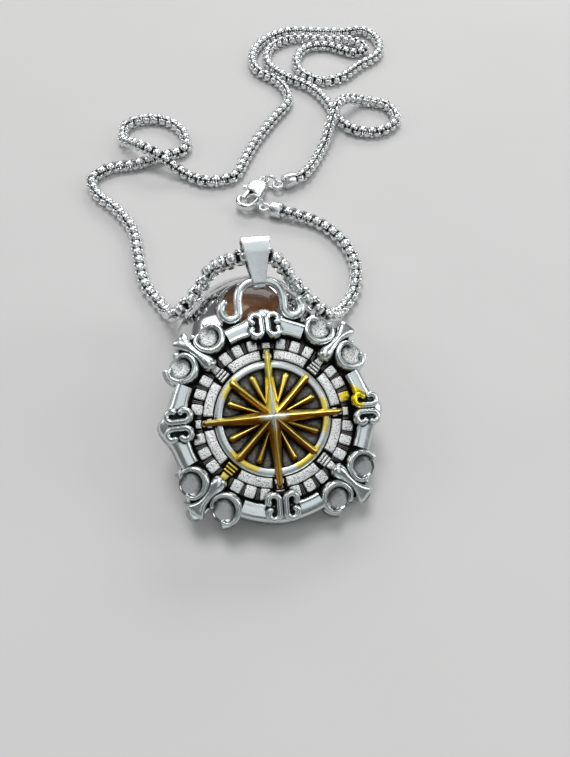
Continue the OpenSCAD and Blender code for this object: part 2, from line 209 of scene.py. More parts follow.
def saucer(levels, sides, centre=(0.0, 0.0), capEnd=True):
    # rings round one centre, each with its radius and height
    around = np.linspace(0, 360, sides, endpoint=False)
    return loft([polar(r, around, z, centre) for r, z in levels], False, capEnd)


def torus(r, wire):
    u, v = circle(wire, 12).T
    return lathe(np.column_stack([r + u, v]), 40, closed=True)


def ball(x, y, z, r, rows=10, sides=18):
    around = np.linspace(0, 360, sides, endpoint=False)
    rings = []
    for a in np.linspace(-90, 90, rows + 1):
        c, s = cosSin(a)
        rings.append(polar(r * max(c, 0.02), around, z + r * s, (x, y)))
    return loft(rings)


# node helpers

def addNode(tree, kind, inputs=None, **props):
    node = tree.nodes.new(kind)
    for key, value in props.items():
        setattr(node, key, value)
    for key, value in (inputs or {}).items():
        if isinstance(value, bpy.types.NodeSocket):
            tree.links.new(value, node.inputs[key])
        else:
            node.inputs[key].default_value = value
    return node


def maths(tree, op, a, b=0.0):
    return addNode(tree, "ShaderNodeMath", {0: a, 1: b}, operation=op).outputs[0]


def times(tree, a, b):
    return maths(tree, "MULTIPLY", a, b)


def plus(tree, a, b):
    return maths(tree, "ADD", a, b)


def minus(tree, a, b):
    return maths(tree, "SUBTRACT", a, b)


def remap(tree, value, low, high, outLow=0.0, outHigh=1.0):
    node = addNode(tree, "ShaderNodeMapRange",
                   {"Value": value, "From Min": low, "From Max": high, "To Min": outLow, "To Max": outHigh})
    return node.outputs["Result"]


def blendColour(tree, factor, a, b):
    return addNode(tree, "ShaderNodeMix", {0: factor, 6: a, 7: b}, data_type="RGBA").outputs[2]


def noise(tree, vector, scale, detail=3.0, rough=0.55):
    node = addNode(tree, "ShaderNodeTexNoise",
                   {"Vector": vector, "Scale": scale, "Detail": detail, "Roughness": rough})
    return node.outputs["Fac"]


def attribute(tree, name, output="Fac"):
    return addNode(tree, "ShaderNodeAttribute", attribute_name=name).outputs[output]


def split(tree, vector):
    return addNode(tree, "ShaderNodeSeparateXYZ", {0: vector}).outputs


def distanceFrom(tree, parts, x, y):
    # distance from a point in the pendant's plane
    dx = minus(tree, parts["X"], x)
    dy = minus(tree, parts["Y"], y)
    return maths(tree, "SQRT", plus(tree, times(tree, dx, dx), times(tree, dy, dy)))


def newGroup(name, inputs, outputs):
    tree = bpy.data.node_groups.new(name, "ShaderNodeTree")
    for kind, label in inputs:
        tree.interface.new_socket(name=label, in_out="INPUT", socket_type=kind)
    for kind, label in outputs:
        tree.interface.new_socket(name=label, in_out="OUTPUT", socket_type=kind)
    return tree, tree.nodes.new("NodeGroupInput").outputs, tree.nodes.new("NodeGroupOutput").inputs


def newMaterial(name):
    material = bpy.data.materials.new(name)
    material.use_nodes = True
    tree = material.node_tree
    return material, tree, tree.nodes["Principled BSDF"].inputs


# noise scales per millimetre; pairs are where a mask starts and where it is full
patinaAndShade = {"broad": 0.55, "middle": 2.2, "fine": 4.6, "scratch": 14.0, "ragged": 0.5, "hollow": (0.12, 0.5),
          "pit": (0.46, 0.36), "pitDirt": 0.75, "scuffed": (0.35, 0.65), "scuff": 0.10, "dirtAndShadeRough": 0.3,
          "uneven": 0.12}


def patinaAndShadeGroup():
    # how dark a surface gets from its cavity value and pits (dirt in the pendant's hollows, painted shade on
    # the chain's links), and how the surface is scuffed
    tree, given, out = newGroup(
        "patinaAndShade", [("NodeSocketVector", "Spot"), ("NodeSocketFloat", "Cavity"), ("NodeSocketFloat", "Pits")],
        [("NodeSocketFloat", "DirtAndShade"), ("NodeSocketFloat", "Roughness"), ("NodeSocketFloat", "Height")])
    spot, pits = given["Spot"], given["Pits"]
    broad = noise(tree, spot, patinaAndShade["broad"])
    middle = noise(tree, spot, patinaAndShade["middle"], 4.0, 0.6)
    fine = noise(tree, spot, patinaAndShade["fine"], 2.0, 0.5)
    scratch = noise(tree, spot, patinaAndShade["scratch"], 2.0, 0.6)
    hollow = plus(tree, given["Cavity"], times(tree, minus(tree, middle, 0.5), patinaAndShade["ragged"]))
    pitMask = times(tree, remap(tree, fine, *patinaAndShade["pit"]), pits)
    inPits = times(tree, pitMask, patinaAndShade["pitDirt"])
    dirtAndShade = maths(tree, "MAXIMUM", remap(tree, hollow, *patinaAndShade["hollow"]), inPits)
    scuff = plus(tree, times(tree, remap(tree, broad, *patinaAndShade["scuffed"]), patinaAndShade["scuff"]),
                 times(tree, scratch, patinaAndShade["scuff"]))
    tree.links.new(dirtAndShade, out["DirtAndShade"])
    tree.links.new(plus(tree, scuff, times(tree, dirtAndShade, patinaAndShade["dirtAndShadeRough"])), out["Roughness"])
    tree.links.new(plus(tree, times(tree, fine, pits), times(tree, middle, patinaAndShade["uneven"])), out["Height"])
    return tree


patinaAndShadeTree = patinaAndShadeGroup()
bumpDepth = 0.00012


def castMetal(name, clean, dirtAndShadeColour, pits, rough, bump, tint=None, hollows=1.0):
    # clean metal that darkens with its cavity value (dirt in the pendant's hollows, painted shade on the
    # chain); tint lays a colour on the clean part
    material, tree, shader = newMaterial(name)
    spot = attribute(tree, "spot", "Vector")
    cavity = times(tree, attribute(tree, "cavity"), hollows)
    group = addNode(tree, "ShaderNodeGroup", node_tree=patinaAndShadeTree)
    tree.links.new(spot, group.inputs["Spot"])
    tree.links.new(cavity, group.inputs["Cavity"])
    group.inputs["Pits"].default_value = pits
    colour = tint(tree, spot, clean) if tint else clean
    tree.links.new(blendColour(tree, group.outputs["DirtAndShade"], colour, dirtAndShadeColour), shader["Base Color"])
    tree.links.new(plus(tree, group.outputs["Roughness"], rough), shader["Roughness"])
    shader["Metallic"].default_value = 1.0
    height = addNode(tree, "ShaderNodeBump",
                     {"Strength": bump, "Distance": bumpDepth, "Height": group.outputs["Height"]})
    tree.links.new(height.outputs["Normal"], shader["Normal"])
    return material


# patches: middle and half width round the dial, in radians
ringGold = {"patches": ((2.45, 0.26), (0.0, 0.42), (-0.92, 0.34), (-2.25, 0.36)), "sway": 0.5, "soft": 0.75,
            "worn": (0.30, 0.42), "ragged": 0.5, "reach": (10.15, 9.8), "colour": (0.82, 0.66, 0.10, 1)}


def goldPatches(tree, spot, clean):
    # gold wash left on parts of the inner ring
    parts = split(tree, spot)
    sway = times(tree, minus(tree, noise(tree, spot, 0.8), 0.5), ringGold["sway"])
    angle = plus(tree, maths(tree, "ARCTAN2", parts["Y"], parts["X"]), sway)
    mask = 0.0
    for centre, half in ringGold["patches"]:
        away = maths(tree, "ABSOLUTE", minus(tree, angle, centre))
        mask = maths(tree, "MAXIMUM", mask, remap(tree, away, half, half * ringGold["soft"]))
    mask = times(tree, mask, remap(tree, noise(tree, spot, 2.5), *ringGold["worn"]))
    far = plus(tree, distanceFrom(tree, parts, 0, 0), times(tree, noise(tree, spot, 1.1), ringGold["ragged"]))
    mask = times(tree, mask, remap(tree, far, *ringGold["reach"]))
    return blendColour(tree, mask, clean, ringGold["colour"])


stain = {"x": 14.3, "y": 2.2, "ragged": 2.4, "reach": (3.6, 2.9), "colour": (0.88, 0.70, 0.03, 1)}


def eastStain(tree, spot, clean):
    # yellow stain over the east ornament
    far = plus(tree, distanceFrom(tree, split(tree, spot), stain["x"], stain["y"]),
               times(tree, noise(tree, spot, 0.9), stain["ragged"]))
    return blendColour(tree, remap(tree, far, *stain["reach"]), clean, stain["colour"])


# rubbed: how far the gold is worn off round the middle, and how much farther on the north ray; away and the
# brown colour: painted shade on the facets that face south
wearAndShade = {"rubbed": 2.3, "north": (0.2, 1.2), "farther": 3.2, "ragged": 1.6, "edge": (0.4, 1.6),
        "ridge": (0.25, 0.8), "bare": (0.86, 0.86, 0.80, 1), "patches": (0.35, 0.65),
        "yellow": (0.84, 0.66, 0.11, 1), "pale": (0.90, 0.82, 0.22, 1), "south": (-1.5, -6.5, 0.0, 0.6),
        "inner": (7.4, 6.8), "orange": (0.66, 0.30, 0.03, 1), "away": (0.05, -0.30, 0.0, 0.95),
        "shadedBrown": (0.26, 0.085, 0.012, 1)}


def goldWearAndShade(tree, spot, clean):
    # gold worn to silver at the middle, orange towards the south, and painted shade: brown on the facets that
    # face south
    parts = split(tree, spot)
    reach = plus(tree, times(tree, remap(tree, parts["Y"], *wearAndShade["north"]), wearAndShade["farther"]), wearAndShade["rubbed"])
    rub = plus(tree, minus(tree, reach, distanceFrom(tree, parts, 0, 0)),
               times(tree, noise(tree, spot, 1.4), wearAndShade["ragged"]))
    bare = times(tree, remap(tree, rub, *wearAndShade["edge"]), remap(tree, attribute(tree, "mark"), *wearAndShade["ridge"]))
    patch = remap(tree, noise(tree, spot, 0.45, 2.0), *wearAndShade["patches"])
    tone = blendColour(tree, patch, wearAndShade["yellow"], wearAndShade["pale"])
    southern = plus(tree, parts["Y"], times(tree, noise(tree, spot, 0.6, 2.0), 3.0))
    inner = remap(tree, maths(tree, "ABSOLUTE", parts["X"]), *wearAndShade["inner"])
    tone = blendColour(tree, times(tree, remap(tree, southern, *wearAndShade["south"]), inner), tone, wearAndShade["orange"])
    # painted shade: facets whose normals point south turn brown
    tone = blendColour(tree, remap(tree, attribute(tree, "aspect"), *wearAndShade["away"]), tone, wearAndShade["shadedBrown"])
    return blendColour(tree, bare, tone, wearAndShade["bare"])


silver = (0.69, 0.735, 0.73, 1)
soot = (0.018, 0.018, 0.017, 1)
castSmooth = castMetal("silver_smooth", silver, soot, pits=0.12, rough=0.16, bump=0.25,
                       tint=eastStain, hollows=1.15)
castStipple = castMetal("silver_stipple", (0.86, 0.87, 0.86, 1), soot, pits=1.0, rough=0.34, bump=1.0,
                        tint=eastStain, hollows=0.62)
castDark = castMetal("silver_oxidised", (0.20, 0.19, 0.18, 1), (0.012, 0.011, 0.011, 1),
                     pits=0.8, rough=0.35, bump=0.6)
castRing = castMetal("silver_gold_ring", silver, soot, pits=0.35, rough=0.26, bump=0.35, tint=goldPatches)
# painted shade: darker, smoother copy of the floor silver, for the deeper floors of the south scrolls
castShadedHollow = castMetal("silver_shaded_hollow", (0.33, 0.335, 0.335, 1), soot, pits=0.2, rough=0.08, bump=0.3,
                       hollows=0.42)
castBowl = castMetal("silver_bowl", (0.27, 0.26, 0.25, 1), soot, pits=1.0, rough=0.35, bump=0.7, hollows=0.5)
castGold = castMetal("gold_wash", (0.88, 0.62, 0.09, 1), (0.07, 0.035, 0.008, 1), pits=0.05, rough=0.22,
                     bump=0.15, tint=goldWearAndShade, hollows=0.3)


# pieces

def pieceFrom(name, shell, material, replaces, space=None, body="necklace", sharp=38):
    points, faces, marks = shell.arrays()
    m = np.array(space or Matrix.Identity(4))
    world = points @ m[:3, :3].T + m[:3, 3]
    mesh = bpy.data.meshes.new(name)
    mesh.from_pydata((world * mm).tolist(), [], faces)
    bm = bmesh.new()
    bm.from_mesh(mesh)
    bmesh.ops.recalc_face_normals(bm, faces=bm.faces)
    bm.to_mesh(mesh)
    bm.free()
    normals = np.zeros(len(points) * 3)
    mesh.vertex_normals.foreach_get("vector", normals)
    # aspect: how far each normal points to the pendant's north; the gold uses it for painted shade on its
    # south-facing facets
    aspect = (np.linalg.inv(m[:3, :3]) @ normals.reshape(-1, 3).T)[1]
    mesh.attributes.new("spot", "FLOAT_VECTOR", "POINT").data.foreach_set("vector", points.ravel())
    for label, values in (("mark", marks), ("cavity", np.zeros(len(points))), ("aspect", aspect)):
        mesh.attributes.new(label, "FLOAT", "POINT").data.foreach_set("value", values)
    mesh.shade_smooth()
    mesh.set_sharp_from_angle(angle=math.radians(sharp))
    mesh.materials.append(material)
    piece = bpy.data.objects.new(name, mesh)
    bpy.context.scene.collection.objects.link(piece)
    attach(piece, body)
    if replaces:
        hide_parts(*replaces)
    return piece


# the pendant's own frame: x right, y to the bail, z out of its face
pose = {"x": 4.47, "y": -22.65, "cant": 7.0, "lean": 24.0, "roll": 8.8}
plate = {"top": -1.3, "back": -3.9, "bodyR": 17.6, "flare": 0.8, "scrollRingR": 17.9, "scrollHalf": 11.5,
         "lobeR": 3.325, "lobeSeen": 3.12, "flareSeen": 0.48, "bodySeen": 17.15, "tipR": 20.3,
         "tipLobe": 1.45, "rimR": 17.2, "swell": 1.9, "swellSouth": 0.2, "swellWide": 8.5,
         "rimHalf": 22, "rimOver": 0.42,
         "lugX": -0.1, "lugOut": 5.55, "lugY": 16.8, "lugR": 1.9, "mouthFrom": 1.9, "mouthTo": 3.6,
         "mouthMargin": 4, "notchStep": 0.04, "flatR": 14.6, "segments": 1080}


def poseMatrix():
    # leans the pendant back so that its lowest lobe meets the table
    turn = (Matrix.Rotation(math.radians(pose["cant"]), 4, "Y")
            @ Matrix.Rotation(math.radians(pose["lean"]), 4, "X")
            @ Matrix.Rotation(math.radians(pose["roll"]), 4, "Z"))
    up = turn[2]
    a = math.radians(-45 - plate["scrollHalf"])
    low = plate["scrollRingR"] * (up[0] * math.cos(a) + up[1] * math.sin(a))
    z = (plate["lobeR"] + plate["flare"]) * math.hypot(up[0], up[1]) - low - plate["back"] * up[2]
    return Matrix.Translation((pose["x"], pose["y"], z)) @ turn


pendantSpace = poseMatrix()
pendantPieces = []


def pendantPiece(name, shell, material, replaces=(), sharp=38):
    pendantPieces.append(pieceFrom(name, shell, material, replaces, pendantSpace, sharp=sharp))


# each pair: its diagonal, how far its fan reaches, the hook of its arms, and for both scrolls the
# direction and half opening of the mouth and the distance of its middle from the pendant's
scrollPairs = {"north_east": (45, 1.0, 0.50, (38, 27, 17.9), (62, 27, 17.9)),
               "north_west": (135, 0.95, 0.50, (132, 24, 17.9), (146, 28, 17.9)),
               "south_west": (225, 0.7, 0.34, (194, 46, 17.65), (210, 42, 17.5)),
               "south_east": (315, 0.8, 0.34, (-52, 28, 17.6), (-25, 44, 17.7))}


def pairPlaces(diagonal, low, high):
    # middle, direction of the mouth and its half opening, for both scrolls of a pair
    out = []
    for side, (mouth, half, far) in ((-1, low), (1, high)):
        c, s = cosSin(diagonal + side * plate["scrollHalf"])
        out.append((far * c, far * s, mouth, half))
    return out


def rimEdge(a, extra, south):
    # outer radius of the rim at an angle from its own cardinal point
    peak = plate["swellSouth"] if south else plate["swell"]
    return plate["rimR"] + extra + peak * math.exp(-(a / plate["swellWide"]) ** 2)


def inMouth(point, places):
    for x, y, mouth, half in places:
        px, py = point[0] - x, point[1] - y
        turn = (math.degrees(math.atan2(py, px)) - mouth + 180) % 360 - 180
        near = plate["mouthFrom"] < math.hypot(px, py) < plate["mouthTo"]
        if near and abs(turn) < half + plate["mouthMargin"]:
            return True
    return False


def plateEdge(angle, places, discs):
    # outline of the whole plate, as the farthest of its overlapping discs, notched at the scrolls' mouths
    d = np.array(cosSin(angle))
    best = plate["bodySeen"]
    for x, y, r in discs:
        along = x * d[0] + y * d[1]
        off2 = x * x + y * y - along * along
        if along > 0 and off2 < r * r:
            best = max(best, along + math.sqrt(r * r - off2))
    near = (angle + 45) % 90 - 45
    if abs(near) < plate["rimHalf"]:
        best = max(best, rimEdge(near, plate["rimOver"], 225 < angle < 315))
    while best > plate["bodySeen"] and inMouth(best * d, places):
        best -= plate["notchStep"]
    return best


def platePart():
    places = []
    for diagonal, *_, low, high in scrollPairs.values():
        places += pairPlaces(diagonal, low, high)
    discs = [(x, y, plate["lobeSeen"]) for x, y, *_ in places]
    discs += [(x, y, plate["tipLobe"]) for x, y, z in polar(plate["tipR"], np.array([45, 135, 225, 315]))]
    discs += [(plate["lugX"] + side * plate["lugOut"], plate["lugY"], plate["lugR"]) for side in (-1, 1)]
    angles = np.linspace(0, 360, plate["segments"], endpoint=False)
    edge = np.array([plateEdge(a, places, discs) for a in angles])
    for _ in range(2):  # softens the creases between the lobes a little
        edge = np.maximum(edge, (np.roll(edge, 1) + 2 * edge + np.roll(edge, -1)) / 4)
    top, back, flat = plate["top"], plate["back"], plate["flatR"]
    under = edge + plate["flareSeen"] - 0.2
    rings = [(r, top) for r in np.linspace(0.3, flat, 36)]
    rings += [(flat + (edge - 0.25 - flat) * t, top) for t in np.linspace(0.08, 1.0, 12)]
    rings += [(edge - 0.08, top - 0.06), (edge, top - 0.22)]
    rings += [(edge + plate["flareSeen"] * t ** 2.2, top - 0.22 - 2.15 * t) for t in np.linspace(0.2, 1.0, 6)]
    rings += [(under + 0.15, back + 0.08)]
    rings += [(under * t, back) for t in (1, 0.9, 0.75, 0.5, 0.25, 0.02)]
    return loft([polar(r, angles, z) for r, z in rings])


fall = {"from": -1.3, "height": 2.4, "most": 1.2, "grade": 0.19, "levelR": 17.6}


def slope(points):
    # the cast rim falls outwards, more so near its top
    p = np.array(points, float)
    r = np.hypot(p[:, 0], p[:, 1])
    share = np.clip((p[:, 2] - fall["from"]) / fall["height"], 0, fall["most"])
    p[:, 2] -= fall["grade"] * (r - fall["levelR"]) * share
    return p


# profile: share of the way to the edge, and height
rimBand = {"inner": 14.62, "over": 0.40, "half": 24.5, "steps": 72, "lift": 0.22, "liftWide": 8,
           "liftFrom": -0.55,
           "profile": [(0.02, -1.32), (0.0, -0.6), (0.01, 0.05), (0.03, 0.34), (0.07, 0.52), (0.12, 0.60),
                       (0.17, 0.60), (0.22, 0.56), (0.28, 0.58), (0.38, 0.68), (0.50, 0.76), (0.62, 0.79),
                       (0.74, 0.76), (0.84, 0.64), (0.92, 0.42), (0.97, 0.08), (1.0, -0.5), (1.01, -1.32)]}


def rimPart(turn):
    # lip beside the dial, shallow groove, and a broad face that falls to the edge
    f, z = np.array(rimBand["profile"]).T
    rings = []
    for a in np.linspace(-rimBand["half"], rimBand["half"], rimBand["steps"] + 1):
        edge = rimEdge(a, rimBand["over"], turn == 270)
        lift = rimBand["lift"] * math.exp(-(a / rimBand["liftWide"]) ** 2)
        r = rimBand["inner"] + f * (edge - rimBand["inner"])
        rings.append(polar(r, a, z + lift * (z > rimBand["liftFrom"])))
    points, faces = loft(rings)
    return slope(turned(points, turn)), faces


# profile: out from the ring's middle line, and height; dish: radius and height
# thins, swells and lowers: by how much, from and to which share of the way from the back to the tips
scroll = {"r": 2.42, "trim": 12, "steps": 72, "tip": 0.5, "base": -1.5, "southDeeper": 0.2,
          "hookFrom": 0.70, "wide": 1.04, "thins": (0.40, 0.10, 0.76), "swells": (0.14, 0.80, 0.92),
          "lowers": (0.12, 0.3, 0.9), "tipLow": 0.70,
          "profile": [(0.70, -1.5), (0.72, -0.4), (0.69, 0.08), (0.60, 0.42), (0.46, 0.68), (0.29, 0.86),
                      (0.10, 0.95), (-0.08, 0.95), (-0.22, 0.87), (-0.31, 0.74), (-0.36, 0.62), (-0.44, 0.55),
                      (-0.53, 0.44), (-0.59, 0.24), (-0.61, -0.3), (-0.60, -1.5)],
          "dish": [(2.12, -0.62), (1.95, -0.80), (1.6, -0.92), (1.1, -1.0), (0.6, -1.03), (0.05, -1.04)]}


def scrollPart(centre, mouth, half, hook):
    # open ring, thick at its back, with thinner arms that hook inwards
    opening = half + scroll["trim"]
    a = np.linspace(mouth + opening, mouth + 360 - opening, scroll["steps"] + 1)
    r = scroll["r"] - hook * ramp(np.abs(np.linspace(-1, 1, len(a))), scroll["hookFrom"], 1.0) ** 2
    path, scale = rounded(polar(r, a, 0, centre), scroll["tip"])
    ends = np.abs(np.linspace(-1, 1, len(path)))
    thins, swells, lowers = scroll["thins"], scroll["swells"], scroll["lowers"]
    width = scroll["wide"] - thins[0] * ramp(ends, *thins[1:]) + swells[0] * ramp(ends, *swells[1:])
    height = (1 - lowers[0] * ramp(ends, *lowers[1:])) * (scroll["tipLow"] + (1 - scroll["tipLow"]) * scale)
    points, faces = sweep(path, scroll["profile"], scale * width, height, scroll["base"])
    return slope(points), faces


def scrollFloor(centre, deeper):
    # dish inside a scroll
    points, faces = saucer([(r, z - deeper) for r, z in scroll["dish"]], 40, centre)
    return slope(points), faces


# spine: distance from the pendant's middle, half width, and height of the top
stem = {"base": -1.35, "knobBase": -0.92, "knobTo": 14.2, "fanFrom": 18.5, "dipFrom": 19.2, "dip": 0.16,
        "dipWide": 0.45,
        "spine": [(13.25, 0.35, 0.10), (13.32, 0.75, 0.55), (13.5, 1.06, 0.90), (13.85, 1.28, 1.12),
                  (14.3, 1.38, 1.22), (14.8, 1.36, 1.24), (15.3, 1.24, 1.18), (15.9, 1.04, 1.06),
                  (16.6, 0.88, 0.96), (17.4, 0.80, 0.90), (18.2, 0.80, 0.88), (18.9, 0.90, 0.88),
                  (19.5, 1.08, 0.88), (20.1, 1.32, 0.86), (20.7, 1.56, 0.80), (21.2, 1.68, 0.64),
                  (21.6, 1.66, 0.40), (21.85, 1.50, 0.05), (21.95, 1.2, -0.5), (21.98, 0.9, -1.2)]}


def stemPart(diagonal, reach):
    # flared stem between two scrolls: fan outside, waist, and a round knob over the dial's edge
    c, s = cosSin(np.linspace(0, 180, 21))
    rings = []
    for r, w, top in stem["spine"]:
        y = w * c
        base = stem["base"] if r > stem["knobTo"] else stem["knobBase"]
        z = base + (top - base) * s ** 0.5
        # a shallow dip runs up the middle of the fan
        z -= stem["dip"] * np.exp(-(y / stem["dipWide"]) ** 2) * ramp(r, stem["dipFrom"], stem["dipFrom"] + 1)
        far = min(r, stem["fanFrom"]) + max(r - stem["fanFrom"], 0) * reach
        rings.append(np.column_stack([np.full(len(y), far), y, z]))
    points, faces = loft(rings)
    return slope(turned(points, diagonal)), faces


figure = {"spread": 1.58, "tall": 1.02, "curl": 1.02, "tighten": 0.26, "turnA": 228, "turnB": 206, "w": 0.56,
          "h": 0.84, "base": 0.92, "under": -0.35, "tipR": 0.46, "tipRise": 0.22}


def tubeStroke(path):
    # half-round raised line with round ends
    c, s = cosSin(np.linspace(0, 180, 11))
    w, under = figure["w"], figure["under"]
    crown = np.column_stack([w * c, figure["h"] * np.maximum(s, 0) ** 0.8])
    path, scale = rounded(path, w, 5)
    path[:, 2] += figure["base"]
    return sweep(path, np.vstack([crown, [(-w, under), (w, under)]]), scale, 0.35 + 0.65 * scale, under)


def figureShell(turn, flip, out):
    # two strokes back to back, each with a curl at both ends
    shell = Shell()
    for side in (-1, 1):
        for end in (1, -1):
            a = np.linspace(0, 1, 28)
            sweepBy = figure["turnA"] if end * flip > 0 else figure["turnB"]
            curl = polar(figure["curl"] - figure["tighten"] * a ** 1.5, side * (end * sweepBy * a - 90), 0,
                         (end * figure["tall"], side * figure["spread"]))
            start = (0, side * (figure["spread"] - figure["curl"]), 0)
            inward = start + np.outer(np.linspace(0, end * figure["tall"], 6)[:-1], (1, 0, 0))
            knob = ball(curl[-1][0], curl[-1][1], figure["base"] + figure["tipRise"], figure["tipR"])
            for points, faces in (tubeStroke(np.vstack([inward, curl])), knob):
                shell.add((slope(turned(moved(points, (out, 0, 0)), turn)), faces))
    return shell


print("stage: pendant")
pendantPiece("plate", shellOf(platePart()), castSmooth, ["back_plate"])

# dark bowl under the star: radius and height
bowlLevels = [(8.72, -0.2), (8.68, -0.9), (8.55, -1.2), (8.3, -1.27)]
bowlLevels += [(r, -1.28) for r in np.linspace(7.9, 0.1, 24)]
pendantPiece("star_bowl", shellOf(saucer(bowlLevels, 120)), castBowl)

for name, turn in (("north", 90), ("east", 0), ("south", 270), ("west", 180)):
    pendantPiece("rim_band_" + name, shellOf(rimPart(turn)), castSmooth, ["rim_" + name])

# each ornament: its direction, which of its ends curls more, and its distance from the middle
ornaments = {"north": (90, 1, 16.1), "east": (0, -1, 16.2), "south": (270, 1, 15.0), "west": (180, -1, 16.0)}
for name, row in ornaments.items():
    pendantPiece("ornament_" + name, figureShell(*row), castSmooth, ["figure_" + name])

for name, (diagonal, reach, hook, low, high) in scrollPairs.items():
    walls, floors = Shell(), Shell()
    south = diagonal > 180
    for x, y, mouth, half in pairPlaces(diagonal, low, high):
        walls.add(scrollPart((x, y), mouth, half, hook))
        floors.add(scrollFloor((x, y), scroll["southDeeper"] if south else 0.0))
    walls.add(stemPart(diagonal, reach))
    pendantPiece("scroll_pair_" + name, walls, castSmooth, ["scroll_" + name])
    # south floors take the darker silver as painted shade
    pendantPiece("scroll_floor_" + name, floors, castShadedHollow if south else castStipple)

# dial: inner ring with radius and height, flat bed, blocks, arcs, dividers and columns
dial = {"floor": -0.95, "bed": -0.92, "bedFrom": 10.0, "bedTo": 14.7,
        "ring": [(8.72, -1.3), (8.70, -0.35), (8.78, -0.12), (8.95, -0.02), (9.35, 0.0), (9.62, -0.04),
                 (9.74, -0.14), (9.78, -0.34), (9.86, -0.36), (9.98, -0.30), (10.08, -0.36), (10.14, -0.6),
                 (10.16, -0.9), (10.2, -1.3)]}
pendantPiece("dial_inner_ring", shellOf(lathe(dial["ring"], 180)), castRing, ["dial_ring"])
bedLevels = [(r, dial["bed"]) for r in np.linspace(dial["bedFrom"], dial["bedTo"], 16)]
pendantPiece("dial_bed", shellOf(saucer(bedLevels, 240, capEnd=False)), castDark)

block = {"r": 13.12, "along": 1.98, "across": 1.76, "corner": 0.3, "top": -0.02, "bevel": 0.22,
         "angles": (-33.75, -22.5, -11.25, 11.25, 22.5, 33.75), "sizeSlip": 0.08, "topSlip": 0.03,
         "turnSlip": 0.4}
divider = {"r": 13.2, "along": 1.9, "across": 0.15, "corner": 0.05, "top": -0.42, "bevel": 0.05,
           "apart": 0.62, "angles": (-39.4, -28.1, -16.9, -5.6, 5.6, 16.9, 28.1, 39.4)}
arcTop = {"inner": 10.32, "outer": 11.98, "starts": (6.2, 53.6), "span": 30.2, "top": -0.05, "bevel": 0.22}
rib = {"starts": (10.55, 11.15, 11.75), "long": 0.42, "half": 1.0, "narrowing": 0.05, "top": 0.12,
       "bevel": 0.14}
# rows of place and half width
capital = {"rows": [(12.35, 0.72), (13.2, 0.62), (13.9, 0.8)], "top": 0.05, "bevel": 0.2}
# under the long rays' tips: from, to and half width
steps = {"rows": [(10.5, 11.3, 0.8), (11.5, 12.1, 0.55), (12.3, 13.3, 0.75)], "taper": 0.9, "top": -0.12,
         "bevel": 0.15}


def roundedBox(x, length, width, r):
    # rectangle with rounded corners, counter-clockwise
    quarter = np.array([0, 30, 60, 90])
    corners = []
    for cx, cy, start in ((1, 1, 0), (-1, 1, 90), (-1, -1, 180), (1, -1, 270)):
        middle = (x + cx * (length / 2 - r), cy * (width / 2 - r))
        corners.append(polar(r, start + quarter, 0, middle)[:, :2])
    return np.vstack(corners)


def sector(r0, r1, a0, a1, step=0.35):
    # outline of a ring's sector, counter-clockwise
    n = max(2, int(math.radians(a1 - a0) * r1 / step)) + 1
    outline = np.vstack([polar(r1, np.linspace(a0, a1, n)), polar(r0, np.linspace(a1, a0, n))])
    return dense(outline[:, :2], step)


def addStud(shell, outline, row, turn, slip=0.0, rounds=4):
    # flat-topped raised piece of the dial
    points, faces = bevelled(outline, dial["floor"], row["top"] + slip, row["bevel"], rounds)
    shell.add((turned(points, turn), faces))


def slipBy(most):
    return rng.uniform(-most, most)


blocks, dividers, arcs = Shell(), Shell(), Shell()
ridge = dense(roundedBox(divider["r"], divider["along"], divider["across"], divider["corner"]), 0.4)
for q in (0, 90, 180, 270):
    for a in block["angles"]:
        across = block["across"] + slipBy(block["sizeSlip"])
        along = block["along"] + slipBy(block["sizeSlip"])
        slip = slipBy(block["topSlip"])
        outline = dense(roundedBox(block["r"], along, across, block["corner"]), 0.3)
        addStud(blocks, outline, block, q + a + slipBy(block["turnSlip"]), slip)
    for a in divider["angles"]:
        for shift in (-divider["apart"], divider["apart"]):
            addStud(dividers, ridge, divider, q + a + shift, rounds=2)
    for a in arcTop["starts"]:
        addStud(arcs, sector(arcTop["inner"], arcTop["outer"], q + a, q + a + arcTop["span"]), arcTop, 0)
pendantPiece("dial_block_tops", blocks, castStipple, ["dial_blocks"])
pendantPiece("dial_dividers", dividers, castDark)
pendantPiece("dial_arc_tops", arcs, castStipple, ["dial_arcs"])

columns, columnGold = Shell(), Shell()
for d in range(0, 360, 45):
    if d % 90 == 45:
        target = columnGold if d == 225 else columns
        for k, r in enumerate(rib["starts"]):
            half = rib["half"] - rib["narrowing"] * k
            addStud(target, dense(mirrored([(r, half), (r + rib["long"], half)]), 0.3), rib, d, rounds=3)
        addStud(target, dense(mirrored(capital["rows"]), 0.3), capital, d)
    else:
        for r0, r1, half in steps["rows"]:
            outline = dense(mirrored([(r0, half), (r1, half * steps["taper"])]), 0.3)
            addStud(columns, outline, steps, d, rounds=3)
pendantPiece("dial_column_tops", columns, castStipple, ["dial_columns"])
pendantPiece("dial_column_gold", columnGold, castGold)

# the star: four long ridged rays, four round-ended ones, eight short ones below
# pairs run from a ray's root to its tip; hub: radius and height
rays = {"long": {"r": (0.0, 12.15), "half": (1.22, 0.42), "low": -0.1, "edge": (0.62, 0.15),
                 "ridge": (2.5, 0.60), "power": 1.35, "tip": 0.45, "worn": 1.0},
        "middle": {"r": (0.6, 9.75), "half": (0.60, 0.68), "low": -0.25, "edge": (0.40, 0.12),
                   "ridge": (1.75, 0.62), "power": 1.8, "tip": 0.9, "worn": 0.3},
        "short": {"r": (2.4, 8.40), "half": (0.30, 0.66), "low": -1.3, "edge": (-0.10, -0.25),
                  "ridge": (0.55, 0.16), "power": 2.0, "tip": 0.7, "worn": 0.2},
        "hub": [(2.6, -1.3), (2.55, -0.2), (2.2, 0.25), (1.6, 0.85), (1.0, 1.45), (0.5, 1.95), (0.05, 2.3)],
        "hubWorn": 0.2, "lengthSlip": 0.12}


